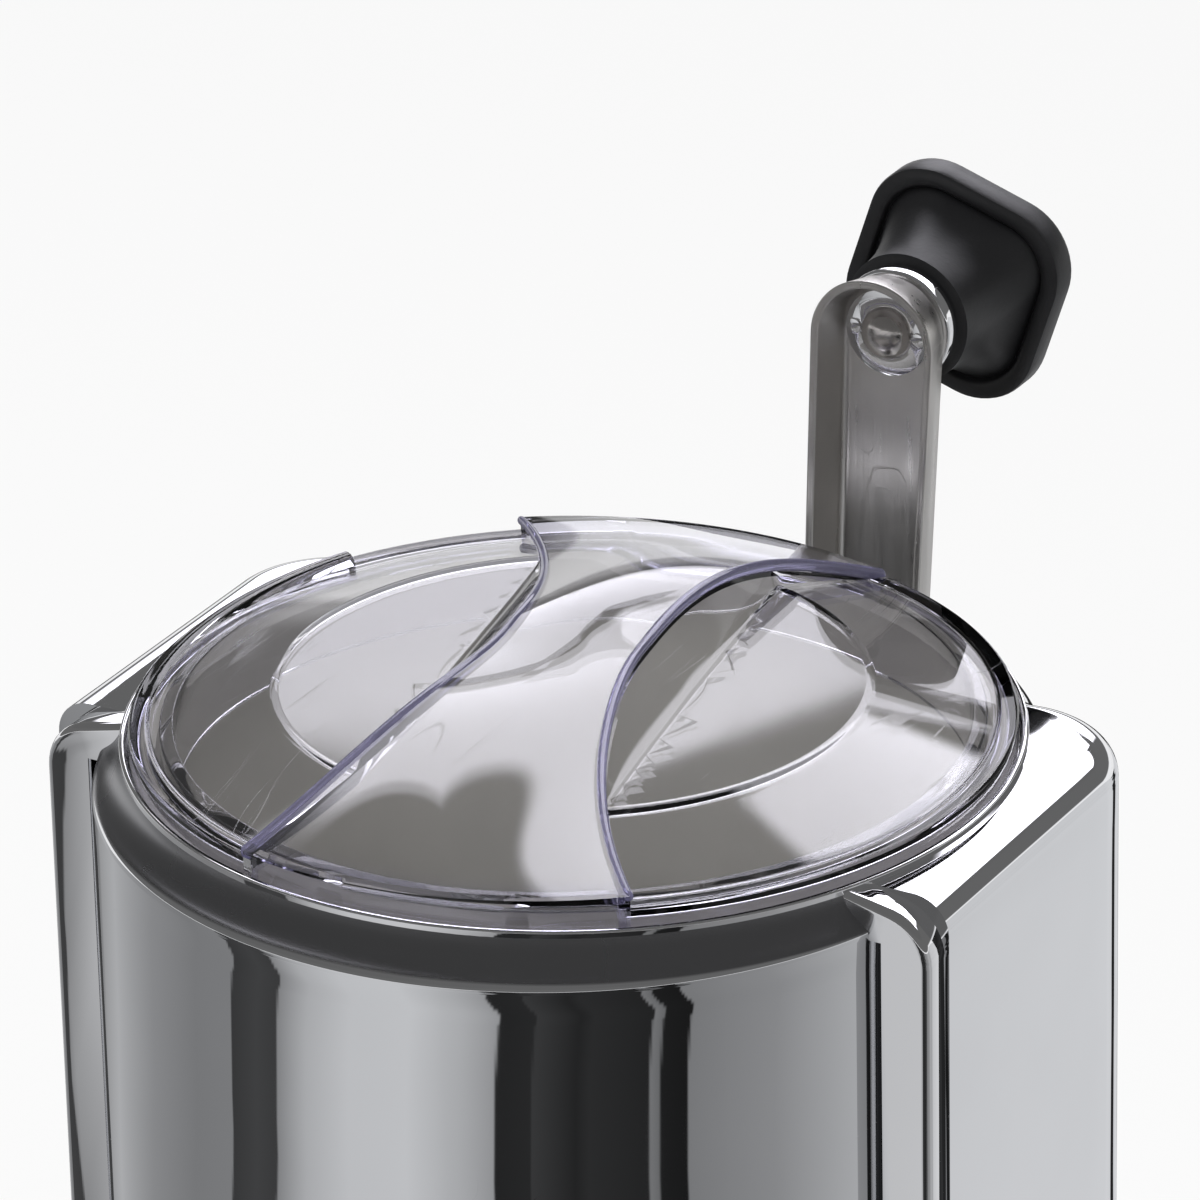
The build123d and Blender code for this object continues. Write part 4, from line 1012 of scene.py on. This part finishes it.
def makeWorld():
    world = bpy.data.worlds.new("studio")
    bpy.context.scene.world = world
    air = Finish("studio", owner=world)
    coordinate = air.node("ShaderNodeTexCoord")
    split = air.node("ShaderNodeSeparateXYZ", {}, {0: Wire(air, coordinate.outputs["Generated"])})
    x, y, up = (Wire(air, split.outputs[k]) for k in range(3))
    elevation = up.math("ARCSINE") * degreesPerRadian
    bearing = y.math("ARCTAN2", x) * degreesPerRadian
    low, high = room["windowLow"], room["windowHigh"]

    def rising(value, place, blur):
        return value.between(place - blur, place + blur)

    def falling(value, place, blur):
        return value.between(place - blur, place + blur, 1.0, 0.0)

    def span(start, stop, blur):
        return rising(bearing, start, blur) * falling(bearing, stop, blur)

    # the window behind the object: its upper border falls to both sides of the photograph's bearing
    aside = bearing - room["behind"]
    fallLeft, fallRight = room["windowFall"]
    fall = aside.math("MAXIMUM", 0.0) * fallLeft - aside.math("MINIMUM", 0.0) * fallRight
    panel = rising(elevation, low, 0.5) * falling(elevation + fall, high, 0.08)
    panel = panel * span(room["windowFrom"], room["windowTo"], 1.5)
    notchFrom, notchTo, notchLow = room["notch"]
    notch = span(notchFrom, notchTo, 0.08) * elevation.between(notchLow - 0.3, notchLow)
    panel = panel * (1 - notch)
    tall = span(room["tallFrom"], room["tallTo"], 0.1)
    tall = tall * elevation.between(*room["tallLow"]) * elevation.between(*room["tallHigh"], 1.0, 0.0)
    panel = panel.math("MAXIMUM", tall)
    # the upper panel
    upper = rising(elevation, room["upperLow"], 1)
    sunk = elevation + (bearing - room["upperPeak"]).math("ABSOLUTE") * room["upperFall"]
    upper = upper * falling(sunk, room["upperHigh"], 0.7)
    upper = upper * span(room["upperFrom"], room["upperTo"], 6)
    cutFrom, cutBelow = room["upperCut"]
    upper = upper * (1 - rising(bearing, cutFrom, 2) * falling(elevation, cutBelow, 1))
    # the rest of the room, with the floor going on to the horizon
    around = air.mix(rising(elevation, high, 4), grey(room["horizon"]), grey(room["ceiling"]))
    around = air.mix(elevation.between(1.5, 3.5), tone(*room["ground"]), around)
    around = air.mix(upper, around, shaded(room["panelTint"], room["upper"]))
    seen = air.mix(panel, around, shaded(room["panelTint"], room["window"]))
    # reflections see the room; the camera sees white, and so do rays that leave the lid near the horizon
    path = air.node("ShaderNodeLightPath")
    camera = Wire(air, path.outputs["Is Camera Ray"])
    through = Wire(air, path.outputs["Is Transmission Ray"])
    mirrored = Wire(air, path.outputs["Is Glossy Ray"]) + through
    colour = air.mix(mirrored.math("MINIMUM", 1.0), grey(room["ambient"]), seen)
    white = camera + through * elevation.between(3, 8, 1.0, 0.0)
    colour = air.mix(white.math("MINIMUM", 1.0), colour, grey(1))
    air.plug(air.tree.nodes["Background"].inputs["Color"], colour)


def makeFloor():
    size = room["floor"]
    mesh = bpy.data.meshes.new("floor")
    corners = [(-size, -size, 0), (size, -size, 0), (size, size, 0), (-size, size, 0)]
    mesh.from_pydata(corners, [], [(0, 1, 2, 3)])
    paper = Finish("paleFloor", {"Base Color": grey(0.86), "Roughness": 0.8})
    path = paper.node("ShaderNodeLightPath")
    camera, glossy, through = (
        Wire(paper, path.outputs["Is " + kind + " Ray"]) for kind in ("Camera", "Glossy", "Transmission")
    )
    seen = (camera + glossy + through).math("MINIMUM", 1.0)
    glow = paper.node("ShaderNodeEmission", {}, {"Color": grey(1), "Strength": 1.0})
    paper.blend(seen * room["floorGlow"], paper.shader, glow)
    mesh.materials.append(paper.owner)
    floor = addObject("floor", mesh)


def makeCards():
    # A flat ring of cards whose outer tenth rises by a parabola, except behind the object. Brightness
    # is a function of the bearing, and its borders waver with the distance by a sum of sines.
    bearing = np.radians(np.linspace(-180, 180, 1801))[:, None]
    share = np.linspace(0, 1, 90)[None, :]
    reach = room["cardsFrom"] + (room["cardsTo"] - room["cardsFrom"]) * share
    fromBehind = np.abs((np.degrees(bearing) - room["behind"] + 180) % 360 - 180)
    flatTo, risenFrom = room["cardsOpen"]
    ahead = np.clip((fromBehind - flatTo) / (risenFrom - flatTo), 0, 1)
    height = room["cardsLift"] + room["cardsRise"] * ahead * np.clip((share - 0.9) / 0.1, 0, 1) ** 2
    x, y, z = np.broadcast_arrays(reach * np.cos(bearing), reach * np.sin(bearing), height)
    waver = sum(size * np.sin(reach * rate + start) for size, rate, start in room["waver"])
    places, lights = np.array(room["cards"]).T
    turned = (np.degrees(bearing) + waver - places[0]) % 360 + places[0]
    shade = np.interp(turned, places, lights).reshape(-1)
    points = np.stack([x, y, z], axis=-1).reshape(-1, 3)
    mesh = bpy.data.meshes.new("cards")
    mesh.from_pydata(points.tolist(), [], quadsOf(*x.shape).tolist())
    layer = mesh.color_attributes.new("shade", "FLOAT_COLOR", "POINT")
    colour = np.stack([shade * 0.97, shade * 0.98, shade, np.ones_like(shade)], axis=-1)
    layer.data.foreach_set("color", colour.reshape(-1))
    cards = addObject("cards", mesh)
    for ray in ("camera", "diffuse", "transmission", "volume_scatter", "shadow"):
        setattr(cards, "visible_" + ray, False)
    glow = Finish("cards")
    light = glow.node("ShaderNodeAttribute", {"attribute_name": "shade"})
    values = {"Color": Wire(glow, light.outputs["Color"]), "Strength": 1.0}
    glow.surface(glow.node("ShaderNodeEmission", {}, values))
    mesh.materials.append(glow.owner)


lamps = {
    "softTop": {"place": (-0.5, -0.6, 1.5), "size": (1.2, 1.2), "power": 14},
    "softSide": {"place": (1.1, -0.5, 0.8), "size": (0.7, 1.0), "power": 5},
}


def makeLamp(name, place, size, power):
    lamp = bpy.data.lights.new(name, "AREA")
    lamp.shape = "RECTANGLE"
    lamp.size, lamp.size_y = size
    lamp.energy = power
    made = addObject(name, lamp)
    made.visible_glossy = False  # the panels stand for it in reflections
    made.location = place
    made.rotation_mode = "QUATERNION"
    made.rotation_quaternion = (Vector(room["lit"]) - Vector(place)).to_track_quat("-Z", "Y")


# the photograph's camera: far off, with a long lens, tilted down and very slightly rolled
cameraShape = {
    "distance": 1.16,
    "bearing": 30.0,
    "elevation": 25.69,
    "roll": -1.27,
    "focal": 8902.0,  # in pixels of the photograph
    "frame": 1200.0,
    "target": (0, 0, 0.218),  # the middle of the lip
    "targetAt": (570.8, 728.2),  # where that stands in the photograph
}


def makeCamera():
    focal, frameSize, distance = (cameraShape[k] for k in ("focal", "frame", "distance"))
    e = np.radians(cameraShape["elevation"])
    acrossShare, downShare = ((place - frameSize / 2) / focal for place in cameraShape["targetAt"])
    pitch = -e + np.arctan(downShare)
    yaw = -np.arctan(acrossShare / np.sqrt(1 + downShare**2)) / np.cos(e)
    forward = np.array([np.sin(yaw) * np.cos(pitch), np.cos(yaw) * np.cos(pitch), np.sin(pitch)])
    right = np.cross(forward, [0, 0, 1])
    right /= np.linalg.norm(right)
    up = np.cross(right, forward)
    rho = np.radians(cameraShape["roll"])
    cosine, sine = np.cos(rho), np.sin(rho)
    right, up = cosine * right + sine * up, -sine * right + cosine * up
    place = distance * np.array([0, -np.cos(e), np.sin(e)])
    turn = Matrix.Rotation(np.radians(cameraShape["bearing"]), 4, "Z")
    pose = Matrix.Identity(4)
    for column, axis in enumerate((right, up, -forward)):
        for row in range(3):
            pose[row][column] = axis[row]
    pose.translation = Vector(place)
    pose = Matrix.Translation(cameraShape["target"]) @ turn @ pose
    camera = bpy.data.cameras.new("photo")
    camera.sensor_fit = "HORIZONTAL"
    camera.sensor_width = 36.0
    camera.lens = focal * camera.sensor_width / frameSize
    camera.clip_start, camera.clip_end = 0.05, 20.0
    made = addObject("photo", camera)
    made.matrix_world = pose
    bpy.context.scene.camera = made


makeWorld()
makeFloor()
makeCards()
for name, values in lamps.items():
    makeLamp(name, **values)
makeCamera()
bpy.context.scene.view_settings.view_transform = "Standard"
print("room made")
